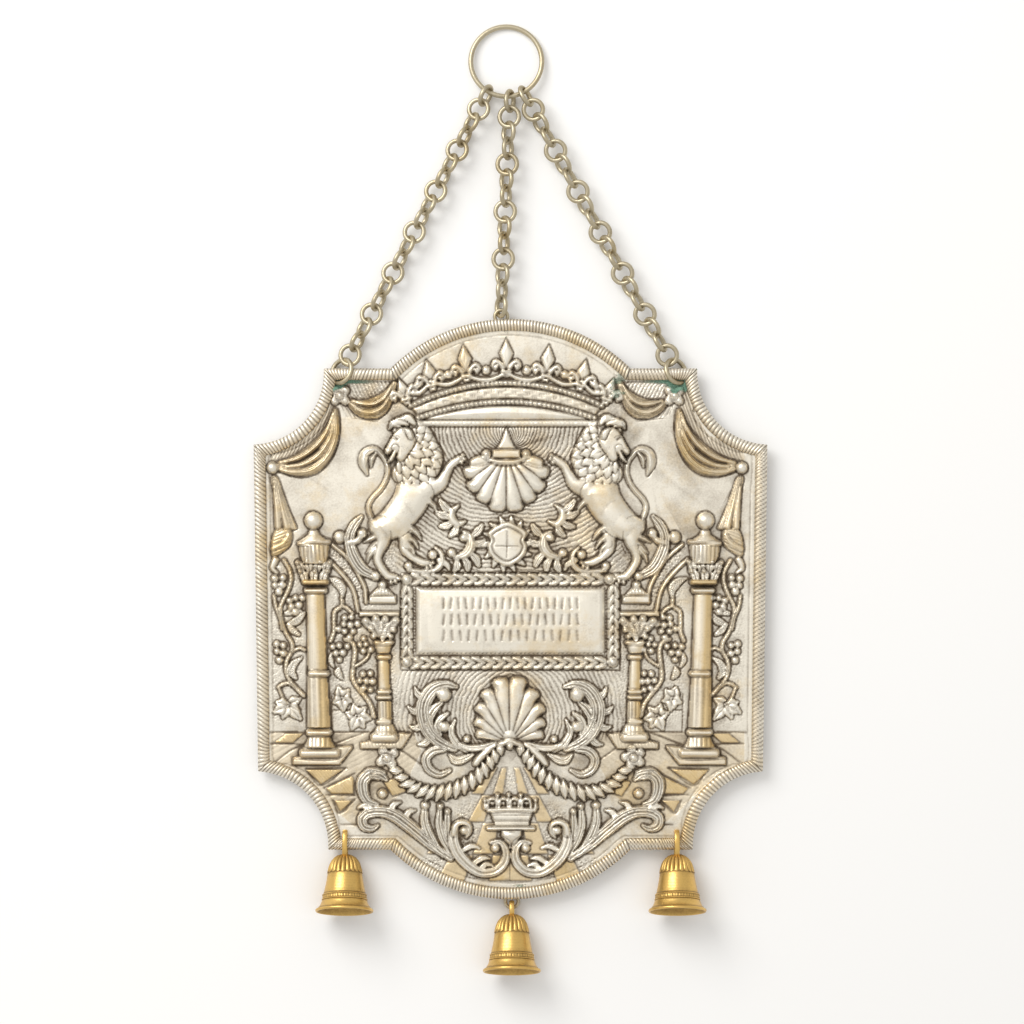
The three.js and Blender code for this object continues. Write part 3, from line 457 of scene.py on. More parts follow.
def ground_work(sheet):
    """Chased ground, laid down before the raised work"""
    sheet.ground([(-42, 84), (38, 84), (42, 60), (48, 40), (50, 16), (-53, 16), (-51, 40), (-45, 60)],
                 "swirl", 1)
    sheet.ground([(-50, -27), (50, -27), (52, -57), (32, -60), (0, -64), (-32, -60), (-52, -57)],
                 "swirl", 1)
    for side in (-1, 1):
        hand = Hand(sheet, side, HAND_AXIS)
        hand.hatch(((-80, 104), (-50, 104), (-52, 92), (-60, 84), (-74, 86), (-78, 96)),
                   slanted(30 * -side, 1.5), 0.4)
        hand.hatch(((-84, 106), (-76, 104), (-79, 90), (-84, 78), (-94, 70), (-108, 66),
                    (-108, 74), (-92, 78), (-86, 88)), slanted(-20 * -side, 1.4), 0.5, 0.25)
        hand.ground(((-83, 22), (-73, 13), (-69, 2), (-64, 4), (-69, 20), (-80, 31)), "matt", 1)
        hand.ground(((-82, 12), (-62, 12), (-62, -54), (-82, -54)), "matt", 0.5)
        hand.ground(((-109, 24), (-92, 24), (-92, -54), (-109, -54)), "matt", 0.4)
        hand.ground(((-51, 0), (-51, -54), (-62, -54), (-62, 0)), "matt", 0.7)
        hand.ground(((-66, 40), (-60, 30), (-64, 14), (-52, 6), (-50, 30), (-52, 40)), "matt", 0.8)
        hand.ground(((-78, 104), (-50, 104), (-46, 94), (-56, 86), (-72, 92)), "matt", 0.5)
        # Paving laid towards the middle, and the wall behind the columns
        floor = ((-108, -55), (-44, -55), (-40, -64), (-50, -84), (-70, -98), (-80, -90), (-96, -74),
                 (-108, -70))
        hand.hatch(floor, slanted(62 * side, 2.2), 0.12, 0.35)
        for row in (((-108, -60.6), (-98, -60.8), (-93, -61.2)), ((-80, -61), (-66, -55.6)),
                    ((-106, -69), (-98, -63), (-93, -61.4)), ((-92, -72), (-74, -71.5)),
                    ((-92, -72), (-85.5, -79.5), (-74, -71.5)), ((-84, -80.5), (-70, -74)),
                    ((-83, -83.6), (-70, -84)), ((-80, -86), (-77, -92), (-70, -85.6)),
                    ((-76, -97), (-68, -97)), ((-57, -78), (-46, -82)), ((-50, -63), (-40, -70)),
                    ((-109, -55.6), (-96, -55.2)), ((-80, -55.4), (-64, -55.2))):
            hand.groove(row, 0.5, 0.4)
        for slab in (((-106, -60), (-98, -60), (-93.4, -56), (-101, -56)),
                     ((-92, -72.4), (-75, -72), (-85.4, -78.8)),
                     ((-83, -80.8), (-71, -75), (-70.6, -83), (-80.6, -83)),
                     ((-79, -86.4), (-71, -86), (-76.6, -91)),
                     ((-57, -78), (-50.4, -75.4), (-46.4, -82), (-53, -84))):
            hand.patch(slab, 0.55, 0.8, smooth=False, gilt=0.9, cut=0.2, lines=(slanted(40, 1.1), 0.15))
        # Tiles that narrow towards the lower shell
        middle = Hand(sheet, side, 0.0)
        tiles = [(-31, -23), (-23, -15), (-15, -7), (-7, 0)]
        for i, turns in enumerate(tiles):
            for j, reach in enumerate(((11.5, 23), (24, 35.5), (36.5, 50), (51, 62))):
                corners = [(reach[far] * math.tan(math.radians(turns[wide])) * 1.25, -60 - reach[far])
                           for far, wide in ((0, 0), (0, 1), (1, 1), (1, 0))]
                if (i + j) % 2 == 0:
                    middle.patch(corners, 0.45, 0.6, smooth=False, gilt=0.75, cut=0.15)
                else:
                    middle.ground(corners, "matt", 1)
        for row in (((-80.6, -38), (-80.2, -55)), ((-80, -45.5), (-73, -45.5))):
            hand.groove(row, 0.35, 0.3)
    # Thin line inside the border
    inner = np.array(RIM) * [1 - 2 * 7.2 / PLATE_WIDTH, 1 - 2 * 7.2 / PLATE_HEIGHT]
    sheet.groove([tuple(p) for p in inner[::6]] + [tuple(inner[0])], 0.4, 0.25, 0.5)


def cloth_work(sheet, side):
    """Draped cloth from the rosette, with its fall beside the column"""
    hand = Hand(sheet, side, HAND_AXIS)
    hand.patch(
        ((-73.2, 91.8), (-68.9, 87.2), (-64.1, 85.6), (-59.3, 86), (-56, 88.4), (-54, 91.5), (-52.6, 95.8),
         (-51, 102), (-52.8, 102.6), (-55.5, 99.2), (-59.3, 96.3), (-64.1, 94.4), (-68.9, 93.9),
         (-72, 94.4)), 2.2, 2.4, gilt=0.55, lines=(fan((-70, 104) if side < 0 else (67, 104), 60), 0.35))
    for fold, half in ((((-72, 92.6), (-67.5, 89.4), (-62.5, 88.6), (-57.5, 91), (-54.4, 96)), 1.5),
                       (((-71, 93.6), (-66.5, 92.4), (-61.5, 92.4), (-57, 95), (-53.4, 100.6)), 1.2)):
        hand.stroke(widened(fold, [half * w for w in (0.5, 1, 1.1, 1, 0.5)]), 3.1,
                    gilt=0.5, lines=("along", 0.9, 0.4), on=0.4)
    hand.patch(
        ((-78, 90.1), (-77.1, 86.2), (-77, 81.4), (-77.8, 76.6), (-80, 69), (-83.3, 64.2), (-87.2, 61.1),
         (-92, 59.7), (-96.8, 59.7), (-101.1, 60.9), (-104.6, 62.4), (-105, 66.1), (-100.6, 67.6),
         (-94.8, 70.8), (-88.6, 75.7), (-83.8, 81), (-80.9, 85.8), (-79.7, 90.1)), 2.2, 3, gilt=0.6)
    folds = ((((-78.8, 89), (-78.4, 82), (-79.6, 75), (-83.6, 67.6), (-90, 62.8), (-98, 61.8),
               (-103.6, 63)), 1.9),
             (((-79.3, 88), (-80, 81.6), (-82.4, 75), (-87.4, 68.8), (-94, 65.2), (-100.6, 64.2)), 1.7),
             (((-79.8, 88.4), (-81.8, 82), (-85.4, 76), (-90.6, 71), (-97.4, 67.4), (-103.6, 66)), 1.4))
    for fold, half in folds:
        shares = np.sin(np.linspace(0.35, math.pi - 0.5, len(fold)))
        hand.stroke(widened(fold, half * shares), 3.3, gilt=0.6, lines=("along", 0.95, 0.45), on=0.3)
    hand.groove(((-100.1, 65.4), (-94.8, 66.4), (-90, 69.2), (-86.2, 71.8)), 0.6, 1.1, 1)
    hand.boss((-107.1, 63.6), 2.7, 3)
    hand.patch(((-107.8, 59.4), (-106.4, 51.7), (-105.4, 44.1), (-105.4, 36.2), (-96.3, 36.1),
                (-97.7, 40.2), (-100.1, 46), (-102.5, 52.7), (-105, 59.4)), 1.7, 1.6, gilt=0.5,
               lines=(fan((-107, 66) if side < 0 else (104, 66), 90), 0.45))
    for fold in (((-106, 57), (-103.4, 47), (-100.6, 37)), ((-106.4, 55), (-105, 45), (-104.4, 37))):
        hand.stroke(widened(fold, (0.6, 1.4, 1.7)), 2.4, gilt=0.5)
    hand.patch(
        ((-105.4, 35.9), (-98.7, 35.2), (-98.7, 29.7), (-100.6, 27.1), (-106.8, 23.5), (-107.9, 27.7)), 1.8,
        1.5, gilt=0.5, lines=(slanted(70 * side, 1.4), 0.4))
    hand.stroke(((-99.6, 33.6, 0.9), (-101.6, 30, 1.2), (-107, 27, 1)), 2.4, gilt=0.5)
    hand.stroke(((-105.8, 22, 1.6), (-107.2, 18.4, 1.2), (-105, 16.4, 0.7)), 1.6)
    rosette(sheet, hand.at(-76.7, 96), 4, 4.6, 0.78)


def turned(hand, top, foot, rows, gilt=0.0, flutes=None):
    """A turned post from rows of (y, half width), cut into lengths where a row repeats its y"""
    def middle(y):
        share = (y - foot[1]) / (top[1] - foot[1])
        return foot[0] + share * (top[0] - foot[0])

    outline = [(middle(y) - half, y) for y, half in rows]
    outline += [(middle(y) + half, y) for y, half in reversed(rows)]
    line = np.array(hand.placed(outline), dtype=float)
    stamp = Stamp(hand.sheet, line, 1.8, closed=True)
    inside = inside_of(line, stamp.x, stamp.y)
    ys = np.array([row[0] for row in rows])[::-1]
    halves = np.array([row[1] for row in rows])[::-1]
    half = np.interp(stamp.y, ys, halves) + 0 * stamp.x
    across = middle(stamp.y)
    drawn_x = stamp.x if hand.side < 0 else 2 * hand.axis - stamp.x
    share = np.clip(np.abs(drawn_x - across) / np.maximum(half, 0.1), 0, 1)
    body = 0.62 * half * np.sqrt(np.clip(1.02 - share**2, 0, 1)) + 0.4
    hand.sheet._outline(stamp, np.where(inside, -1, stamp.distance), 8, 0.5)
    phase = (drawn_x - across) / flutes[0] if flutes else 0
    lines = (None, flutes[1]) if flutes else None
    tint = gilt * faded((drawn_x - across) * -hand.side, -1, 2) + 0.25 * gilt
    hand.sheet._raise(stamp, inside, body, stamp.distance, lines, phase, tint)


def collar(hand, middle, y, half, thick, height=3.6, gilt=0.5):
    """A round moulding across a column"""
    ends = ((middle - half + thick / 2, y, thick / 2), (middle + half - thick / 2, y, thick / 2))
    hand.stroke(ends, height, gilt=gilt, cut=0.5)


def large_column(sheet, side):
    """Outer column: a plinth, a fluted foot, a shaft, a leafy capital and a knob on top"""
    hand = Hand(sheet, side, COLUMN_AXIS)
    top, foot = (-88.7, 40), (-85.7, -70)
    field = ((-98, -66.8), (-98, -70.2), (-77, -70.2), (-71, -62.5), (-71.2, -61.4), (-78, -61.8))
    hand.patch(field, 2.2, 0.9, smooth=False, gilt=0.4)
    hand.groove(((-98, -67.4), (-77.4, -67.4), (-72, -61.8)), 0.4, 0.4)
    turned(hand, top, foot, [(-26.9, 4.3), (-53.4, 5.2)], 0.9, (2.9, 0.5))
    turned(hand, top, foot, [(7.2, 4.0), (-27.4, 4.3)], 0.9)
    turned(hand, top, foot, [(-57, 4.8), (-59.6, 5.6), (-62.4, 7.4)], 0.8, (2.2, 0.5))
    collar(hand, -85.8, -64.6, 9.4, 4.4, 5.2, 0.15)
    collar(hand, -86.1, -55.4, 6, 3.3, 5, 0.2)
    collar(hand, -86.2, -29, 5, 3, 4.4, 0.2)
    collar(hand, -87.6, 8.4, 5.4, 2.7, 4.6, 0.1)
    collar(hand, -87.8, 12.2, 6.2, 2.9, 4.8, 0.9)
    # Capital of two rows of leaves with curled tips
    for x, y, lean, rise in ((-94.2, 19.6, -1.6, 3.6), (-90.6, 20, -1, 4), (-86.6, 20, 1, 4),
                             (-82.8, 19.8, 1.6, 3.6), (-92.8, 15.6, -1.8, 4), (-88.3, 15.8, 0.4, 4.4),
                             (-84, 15.8, 1.8, 4)):
        leaf = ((x - 0.3 * lean, y - 3.2), (x, y - 0.6), (x + 0.9 * lean, y + 1.6))
        hand.stroke(widened(leaf, (1.3, 2.1, 1)), rise, "leaf", ("along", 1, 0.5))
        hand.boss((x + lean, y + 1.3), 1.1, rise + 0.3, cut=0.3)
    turned(hand, top, foot, [(29.2, 6.9), (24, 6.3), (20.6, 5)], 0.5, (1.9, 0.6))
    hand.stroke(((-95, 29.6, 1.1), (-88.4, 30.2, 1.3), (-81.6, 30.2, 1.1)), 4.4, gilt=0.3)
    turned(hand, top, foot, [(36.2, 1.6), (33.4, 2.6), (30.6, 6.6)], 0.4)
    hand.boss((-88.7, 39.8), 4, 4.2)


def small_column(sheet, side):
    """Inner column on its slab, with a capital of curled leaves"""
    hand = Hand(sheet, side, COLUMN_AXIS)
    top, foot = (-57.6, -4), (-56.2, -60)
    hand.patch(((-67.5, -60.2), (-67.5, -63), (-49, -63), (-44.4, -56), (-50, -55.6)), 1.8, 0.9,
               smooth=False, gilt=0.4, lines=(slanted(8, 1.5), 0.2))
    hand.patch(((-68, -1.2), (-68, -3.4), (-50, -3.4), (-50, -1.2)), 1.7, 0.7, smooth=False, gilt=0.3)
    hand.patch(((-63.6, 6.1), (-63.6, 2.6), (-51.4, 2.6), (-51.4, 6.1)), 2.6, 0.9, smooth=False)
    hand.patch(((-59.8, 9.6), (-55.6, 9.6), (-52.4, 6.2), (-63.4, 6.2)), 2.4, 1.2,
               smooth=False, lines=(slanted(0, 1.5), 0.4))
    hand.boss((-57.6, 10.8), 1.9, 2.8)
    turned(hand, top, foot, [(-22.8, 2.3), (-36.2, 2.6)], 0.9)
    turned(hand, top, foot, [(-41, 2.8), (-49.6, 3.1)], 0.9, (1.7, 0.6))
    turned(hand, top, foot, [(-16, 4), (-18, 3.2), (-20.2, 2.7)], 0.5)
    turned(hand, top, foot, [(-51.6, 3.2), (-54, 4.4), (-56.6, 6)], 0.5, (2, 0.4))
    collar(hand, -56.9, -57.6, 6.4, 4.4, 3.8, 0.2)
    for y, half, thick in ((-50.7, 3.6, 2.4), (-39.7, 3.5, 2.4), (-37.2, 3.3, 2.2),
                           (-21.6, 3.3, 2.6), (-15, 4.6, 2.4)):
        collar(hand, -57, y, half, thick, 3, 0.3)
    leaves = (((-57.5, -13.4), (-60.4, -10), (-65.2, -5.4)), ((-57.5, -13.4), (-58.6, -9), (-60.6, -4.6)),
              ((-57.5, -13.4), (-57, -9), (-56.4, -4.8)), ((-57.5, -13.4), (-55, -9.4), (-51.6, -5.2)))
    for leaf in leaves:
        hand.stroke(widened(leaf, (1, 1.9, 1.9)), 3, "leaf", ("leaf", 1.2, 0.5))
    for x, y in ((-65, -5.2), (-60.4, -4.3), (-56.5, -4.6), (-51.6, -5.2), (-62.6, -8.8),
                 (-52.6, -9.4), (-61.5, -12.2), (-54, -12.2)):
        hand.boss((x, y), 1.45, 3.2, cut=0.3)


def arch_and_bracket(sheet, side):
    """Plain arch between the columns, and the leafy bracket under the lion"""
    hand = Hand(sheet, side, HAND_AXIS)
    for band in (((-80.2, 29), (-73.7, 23.4), (-69.4, 17.2), (-65.6, 9.5), (-65, 3)),
                 ((-82.6, 22.3), (-78.5, 18.6), (-73.7, 13.3), (-70.6, 8), (-68.6, -1))):
        hand.stroke([(*p, 0.9) for p in band], 1.5, gilt=0.3)
    hand.boss((-76.8, 32.3), 2.8, 3)
    hand.stroke(
        ((-67.2, 41.4, 1), (-69.8, 38.4, 2), (-72, 34, 2.2), (-72.2, 29, 2.4), (-70.4, 23.4, 2.7),
         (-67, 18.2, 2.6), (-62, 15.2, 1.8)), 2.8, "leaf", ("along", 1.25, 0.8))
    hand.stroke(((-72, 30, 1.2), (-69.4, 30.6, 1.5), (-67.4, 32.6, 1.4)), 2.6)
    hand.boss((-66.8, 34), 2.2, 3)
    hand.boss((-60.6, 14.8), 2.1, 2.8)


def lion(sheet, side):
    """Rampant lion, its head turned outwards"""
    hand = Hand(sheet, side, HAND_AXIS)
    hand.stroke(((-62.4, 40.4, 1.2), (-64, 45.6, 1.1), (-62.4, 49.6, 1.1), (-58.4, 54, 1.1),
                 (-55.6, 59.6, 1.1), (-55.4, 64.8, 1.1), (-57.6, 69, 1.2), (-61.4, 71.8, 1.5),
                 (-65, 70.2, 2.2), (-66, 65.8, 2.4), (-64.6, 60.4, 0.5)), 2.4, "ridge")
    hand.stroke(((-60.4, 70.2, 0.5), (-62.4, 67.6, 1.2), (-62.8, 64, 0.4)), 2.2, "ridge", cut=0.3)
    for x, y in ((-64.4, 68.6), (-64.6, 65.6)):
        hand.groove(((x + 1, y + 1), (x, y), (x + 0.2, y - 1.8)), 0.25, 0.3)
    # Far legs, body, then the near legs
    hand.stroke(((-48.8, 38, 4.6), (-47.4, 31.4, 3), (-47.4, 26.8, 2.2), (-44.4, 23.6, 1.7),
                 (-40.4, 21.2, 1.7), (-36.8, 20.4, 1.5)), 3.1)
    hand.stroke(((-37.4, 54.4, 5), (-31.8, 56.6, 3.3), (-29.2, 60.6, 2.2), (-26.8, 64.8, 1.8),
                 (-22.8, 67.4, 1.8)), 3.5)
    hand.patch(
        ((-50.3, 57), (-52.4, 51.7), (-56.1, 46), (-60.2, 41.6), (-63.6, 39.7), (-63, 34.4), (-57.6, 31),
         (-52.4, 31.4), (-46.8, 34.4), (-43, 38.6), (-39.6, 42.6), (-36.8, 46.9), (-34.6, 50.8),
         (-36.6, 56), (-43, 58)), 3.4, 5.4, swell=0.9)
    hand.stroke(((-58.6, 37, 4.6), (-57.4, 31, 3.3), (-59.2, 26, 2.2), (-59.8, 22.4, 1.9),
                 (-57.8, 18, 1.8), (-55, 14.8, 1.8), (-51.8, 14, 1.6)), 3.8)
    for way in (((-57, 44.6), (-53, 43), (-49, 38)), ((-50, 49), (-46, 46), (-43.6, 42)),
                ((-62, 38.4), (-58, 36.4), (-55.4, 33))):
        hand.groove(way, 0.7, 0.25, 0.25)
    for x, y in ((-50.2, 13.6), (-51.8, 12.4), (-53.8, 12), (-35, 20.8), (-35.8, 19.2), (-37.6, 18.4),
                 (-21.4, 69), (-20.8, 67.4), (-22, 65.9)):
        hand.boss((x, y), 1, 2.8, cut=0.35)
    for tuft in (((-60, 30), (-62.6, 27.4), (-64.8, 25)), ((-61, 27), (-63.4, 24), (-64.4, 21)),
                 ((-46.4, 32.6), (-43.4, 30.4), (-41.6, 27.2)), ((-47, 29.4), (-44.4, 27.4), (-43, 24.4)),
                 ((-45, 36.4), (-42, 34), (-40.2, 31)), ((-60, 33), (-63.4, 31.4), (-66, 30)),
                 ((-37.4, 49), (-34.6, 46.6), (-33, 43.6))):
        hand.stroke(widened(tuft, (1.5, 1.1, 0.3)), 2.2, "ridge", cut=0.35)
    # Mane: rows of pointed locks laid from the chest up to the brow
    hand.patch(((-53.4, 80.4), (-50.6, 84.4), (-46, 86.2), (-41, 85.2), (-36.6, 81.6),
                (-33, 75), (-30.4, 68.5), (-32, 61.3), (-35.6, 56.8), (-40.2, 55.2),
                (-44.4, 54), (-49.3, 55.6), (-53, 59), (-52.4, 64.2), (-48, 68)), 2.4, 3)
    rows = (((-50.6, 57.4), (-46.4, 55.2), (-42, 55.4), (-37.8, 56.6), (-34.2, 59.4), (-31.8, 63.4),
             (-31, 68.2), (-32.4, 73), (-35, 77.6), (-38.2, 81.8), (-42.6, 84.8), (-47.4, 85.4),
             (-51.4, 83.4)),
            ((-50.6, 61.4), (-46.8, 59), (-42.4, 59), (-38.6, 60.8), (-35.8, 64.4), (-35, 69),
             (-36.4, 73.6), (-39, 77.8), (-42.4, 80.8), (-46.4, 82)),
            ((-48.6, 64.8), (-44.8, 63), (-41.2, 64.4), (-39.2, 68), (-39.8, 72.4), (-42, 76.4)))
    middle = np.array([-47.6, 73.0])
    for level, row in enumerate(rows):
        for i, tip in enumerate(row):
            out = np.array(tip) - middle
            out = out / math.hypot(*out)
            curl = np.array([-out[1], out[0]]) * 0.9
            root = np.array(tip) - out * 6.2
            belly = np.array(tip) - out * 2.4 + 0.5 * curl
            lock = [(*root, 1.5), (*belly, 2), (*(tip + 0.6 * curl), 0.3)]
            hand.stroke(lock, 0.7, "band", on=1.9 + 0.6 * level + 0.12 * (i % 2), cut=0.5)
            hand.groove([root, belly], 0.2, 0.15, 0.4)
    # Head in profile: eye, curled lip, the tongue out of the open jaws, ear and forelocks
    hand.patch(
        ((-45.4, 81.2), (-49.2, 81.6), (-51.6, 79.8), (-53.4, 76.9), (-55.2, 73.4), (-56.5, 71),
         (-55.4, 69.2), (-53.6, 70), (-52.2, 71.2), (-51, 70), (-51.4, 68.2), (-50.4, 66.8), (-48.3, 66.7),
         (-46.2, 69.4), (-43.4, 73.8), (-43.2, 78)), 1.5, 2.4, on=3.6, cut=0.6)
    hand.stroke(((-51.6, 71.4, 0.9), (-52.6, 69.2, 1), (-53.8, 67.2, 0.8), (-55, 66.2, 0.4)), 0.9,
                on=3.8, cut=0.6)
    hand.groove(((-55.4, 69.4), (-53.8, 70.2), (-52.6, 71.2)), 0.35, 0.7, 1)
    hand.groove(((-53.4, 72), (-52.9, 73.6), (-51.2, 74), (-50, 72.8), (-50.2, 71)), 0.3, 0.45, 0.9)
    hand.groove(((-52.1, 77), (-50.9, 76.2)), 0.6, 0.7, 1.3)
    hand.groove(((-52.7, 77), (-51.2, 78), (-49.6, 77)), 0.26, 0.35, 0.8)
    hand.groove(((-55.4, 72.2), (-54.6, 71.7), (-54, 72.2)), 0.28, 0.4, 0.9)
    for way in range(3):
        hand.groove(((-48.6 + 1.1 * way, 73.6 - 0.4 * way), (-47.4 + 1.1 * way, 71.4 - 0.2 * way)),
                    0.22, 0.2, 0.45)
    hand.stroke(((-44.8, 77.2, 1.1), (-45.6, 79.4, 1.3), (-47.4, 81, 0.5)), 1.1, "leaf", on=5, cut=0.5)
    for tuft in (((-50, 82.6), (-52.8, 83.4), (-54.4, 81)), ((-46.6, 83.2), (-50.4, 84.6), (-53, 82.2)),
                 ((-43.4, 83.4), (-46, 86), (-50, 85.8))):
        hand.stroke(widened(tuft, (1, 1.7, 0.4)), 1.1, "band", on=3.2, cut=0.5)


def upper_scrolls(sheet, side):
    """Scrolls between the lions and under their feet"""
    hand = Hand(sheet, side, HAND_AXIS)
    hand.stroke(((-33.6, 27.4, 0.7), (-31.2, 24.8, 1.2), (-31.2, 20.4, 1.5), (-34.6, 17.4, 1.5),
                 (-40.4, 16.6, 1.4), (-45.6, 17.6, 1.2)), 2.3, lines=("along", 0.9, 0.3))
    hand.boss((-34.9, 24.4), 2.1, 2.5)
    hand.boss((-45.8, 19.4), 1.9, 2.4)
    for leaf in (((-32, 22), (-28.6, 20), (-27.4, 17.6)), ((-36, 17), (-34, 14.6), (-31, 13.4))):
        hand.stroke(widened(leaf, (1.4, 1.3, 0.5)), 1.9, "leaf")
    hand.stroke(((-23.4, 46.6, 0.6), (-26.2, 44, 1.6), (-26.4, 40.6, 2), (-24, 38.2, 1.7),
                 (-20.4, 39.4, 0.7)), 2.3)
    for leaf in (((-26.4, 44), (-29.2, 45.6), (-31.6, 48.6)), ((-27, 41.6), (-30, 42), (-33, 43.4)),
                 ((-26, 39), (-28.6, 37.6), (-31.4, 37.2)), ((-24, 37.6), (-25, 35), (-27, 33))):
        hand.stroke(widened(leaf, (0.9, 1.9, 1)), 1.9, "leaf", ("along", 0.8, 0.5))
    hand.stroke(((-21, 34.6, 0.9), (-18.4, 32.4, 1.8), (-17.8, 28.4, 2.4), (-20, 24.8, 2.2),
                 (-24.8, 23, 1.2)), 2.6, "round", ("along", 1.5, 0.3))
    hand.boss((-21, 32.1), 1.9, 2.6)
    hand.boss((-26.5, 25.2), 2, 2.6)
    for leaf in (((-17, 33), (-14.8, 34.8), (-13, 37.4)), ((-16.6, 29.6), (-13.8, 29.4), (-11.8, 30.6)),
                 ((-18, 25), (-15.6, 22.6), (-14.4, 19.8)), ((-21, 22.8), (-19.4, 20.2), (-19.2, 17.8)),
                 ((-24, 21.8), (-24, 19.4), (-25, 17.4))):
        hand.stroke(widened(leaf, (1, 1.9, 1.1)), 1.9, "leaf", ("along", 0.8, 0.5))


def vines(sheet, side):
    """Grapevines beside and between the columns"""
    hand = Hand(sheet, side, HAND_AXIS)
    stems = ((((-102, 22), (-99.6, 18), (-98.7, 14.6), (-99.2, 11), (-101.2, 6), (-103.6, 1),
               (-103.4, -3), (-101.4, -10), (-98.4, -15.4), (-98.4, -19), (-100.4, -22.4),
               (-101, -27), (-99.6, -31.6), (-96.6, -35.4), (-93, -39)), 0.9),
             (((-106.4, 6), (-105.6, 1), (-103.6, -4), (-102.6, -9)), 0.8),
             (((-76, 5.4), (-76, 1.5), (-79, -1), (-79.5, -5), (-79.4, -10), (-81, -14.4)), 0.9),
             (((-76, 1.5), (-73.6, 0.4), (-71, -2)), 0.8),
             (((-74.4, -13.6), (-71, -15.5), (-70, -19), (-70.6, -25), (-71, -31), (-69, -35),
               (-66, -38.5), (-63, -43), (-61.5, -48.4)), 1),
             (((-70.4, -26), (-67, -24), (-64.2, -21.4), (-63.4, -18.4)), 0.7),
             (((-104.6, -35.4), (-102.4, -33.8), (-99.5, -33.4), (-97, -35)), 0.8),
             (((-104, -36), (-102.6, -39.6), (-100.4, -43)), 0.7),
             (((-98.4, -19), (-95, -17.6), (-92.6, -18.4)), 0.7))
    for stem, half in stems:
        hand.stroke([(*p, half) for p in stem], 1.6, gilt=0.3, lines=("slant", 1.7, 0.4))
    leaves = (((-101, -2, 1), (-97, -1, 1.8), (-92.8, -2.4, 0.7)), ((-100, -7, 0.9), (-96.4, -5.4, 1.8),
              (-92.6, -1.8, 0.8)), ((-100, -7, 0.9), (-98, -9.6, 1.5), (-95.4, -11.4, 0.8)),
              ((-96.8, -31, 0.9), (-98.6, -28, 1.8), (-97.4, -24.6, 1.6), (-94, -22, 0.5)),
              ((-82, 13.8, 0.5), (-79, 12.6, 1.7), (-76, 9.6, 2), (-75.6, 6, 0.8)),
              ((-77.2, -26.4, 0.6), (-77.6, -28.6, 1.7), (-76, -31.2, 0.7)),
              ((-80.6, -20, 0.5), (-81, -23, 1.2), (-79.6, -26, 0.5)))
    for leaf in leaves:
        hand.stroke(leaf, 1.7, "leaf", ("leaf", 1.1, 0.5))
    lobed = (((-100.4, -43), ((-95, -40.5), (-95.4, -45.7), (-94.6, -49.4), (-102.4, -48.8),
                              (-106.2, -46.5), (-105, -42))),
             ((-76, -40.6), ((-77.4, -35.4), (-73, -36.6), (-71.8, -41.4), (-75, -45.4), (-79.4, -42))),
             ((-69, -48.4), ((-73.6, -46.8), (-70.6, -43.4), (-65.4, -44.6), (-63.4, -49.4),
                             (-66.2, -53), (-71.4, -54))))
    for middle, tips in lobed:
        for tip in tips:
            between = tuple(0.45 * m + 0.55 * t for m, t in zip(middle, tip))
            hand.stroke([(*middle, 1), (*between, 2.5), (*tip, 0.8)], 1.7, "leaf", cut=0.3)
        for tip in tips:
            vein = [tuple(m + share * (t - m) for m, t in zip(middle, tip)) for share in (0, 0.5, 0.9)]
            hand.groove(vein, 0.3, 0.35, 0.8)
    grapes(hand, ((-106.2, 13.8), (-102.4, 14), (-105.8, 10.6), (-102.8, 10.8), (-104.2, 7.8)), 1.7)
    grapes(hand, ((-99.4, 3.8), (-96.6, 5), (-93.6, 5), (-98.6, 1), (-95.2, 1.8), (-96.8, -1.4)))
    grapes(hand, ((-105.2, -15.8), (-102.2, -16.4), (-105, -19), (-102.2, -20), (-104, -23)))
    grapes(hand, ((-74.6, -4), (-71.6, -3.6), (-75, -6.8), (-72, -7.2), (-68.8, -6.6),
                  (-77.2, -9), (-74.6, -10), (-70.8, -10), (-72.5, -12.8)), 1.5)
    grapes(hand, ((-80, -17), (-77, -16.4), (-73.4, -16.8), (-78.6, -19.8), (-75.4, -19.6),
                  (-77, -22.8)), 1.5)
    grapes(hand, ((-66, -13.4), (-67.8, -16), (-65, -15.8), (-66.2, -18.8), (-62.8, -18.2)), 1.4)
    grapes(hand, ((-66.4, -29.2), (-63, -29), (-67.8, -32.2), (-64.8, -32.4), (-62, -32.6),
                  (-66, -35.6), (-63, -36.4)), 1.5)


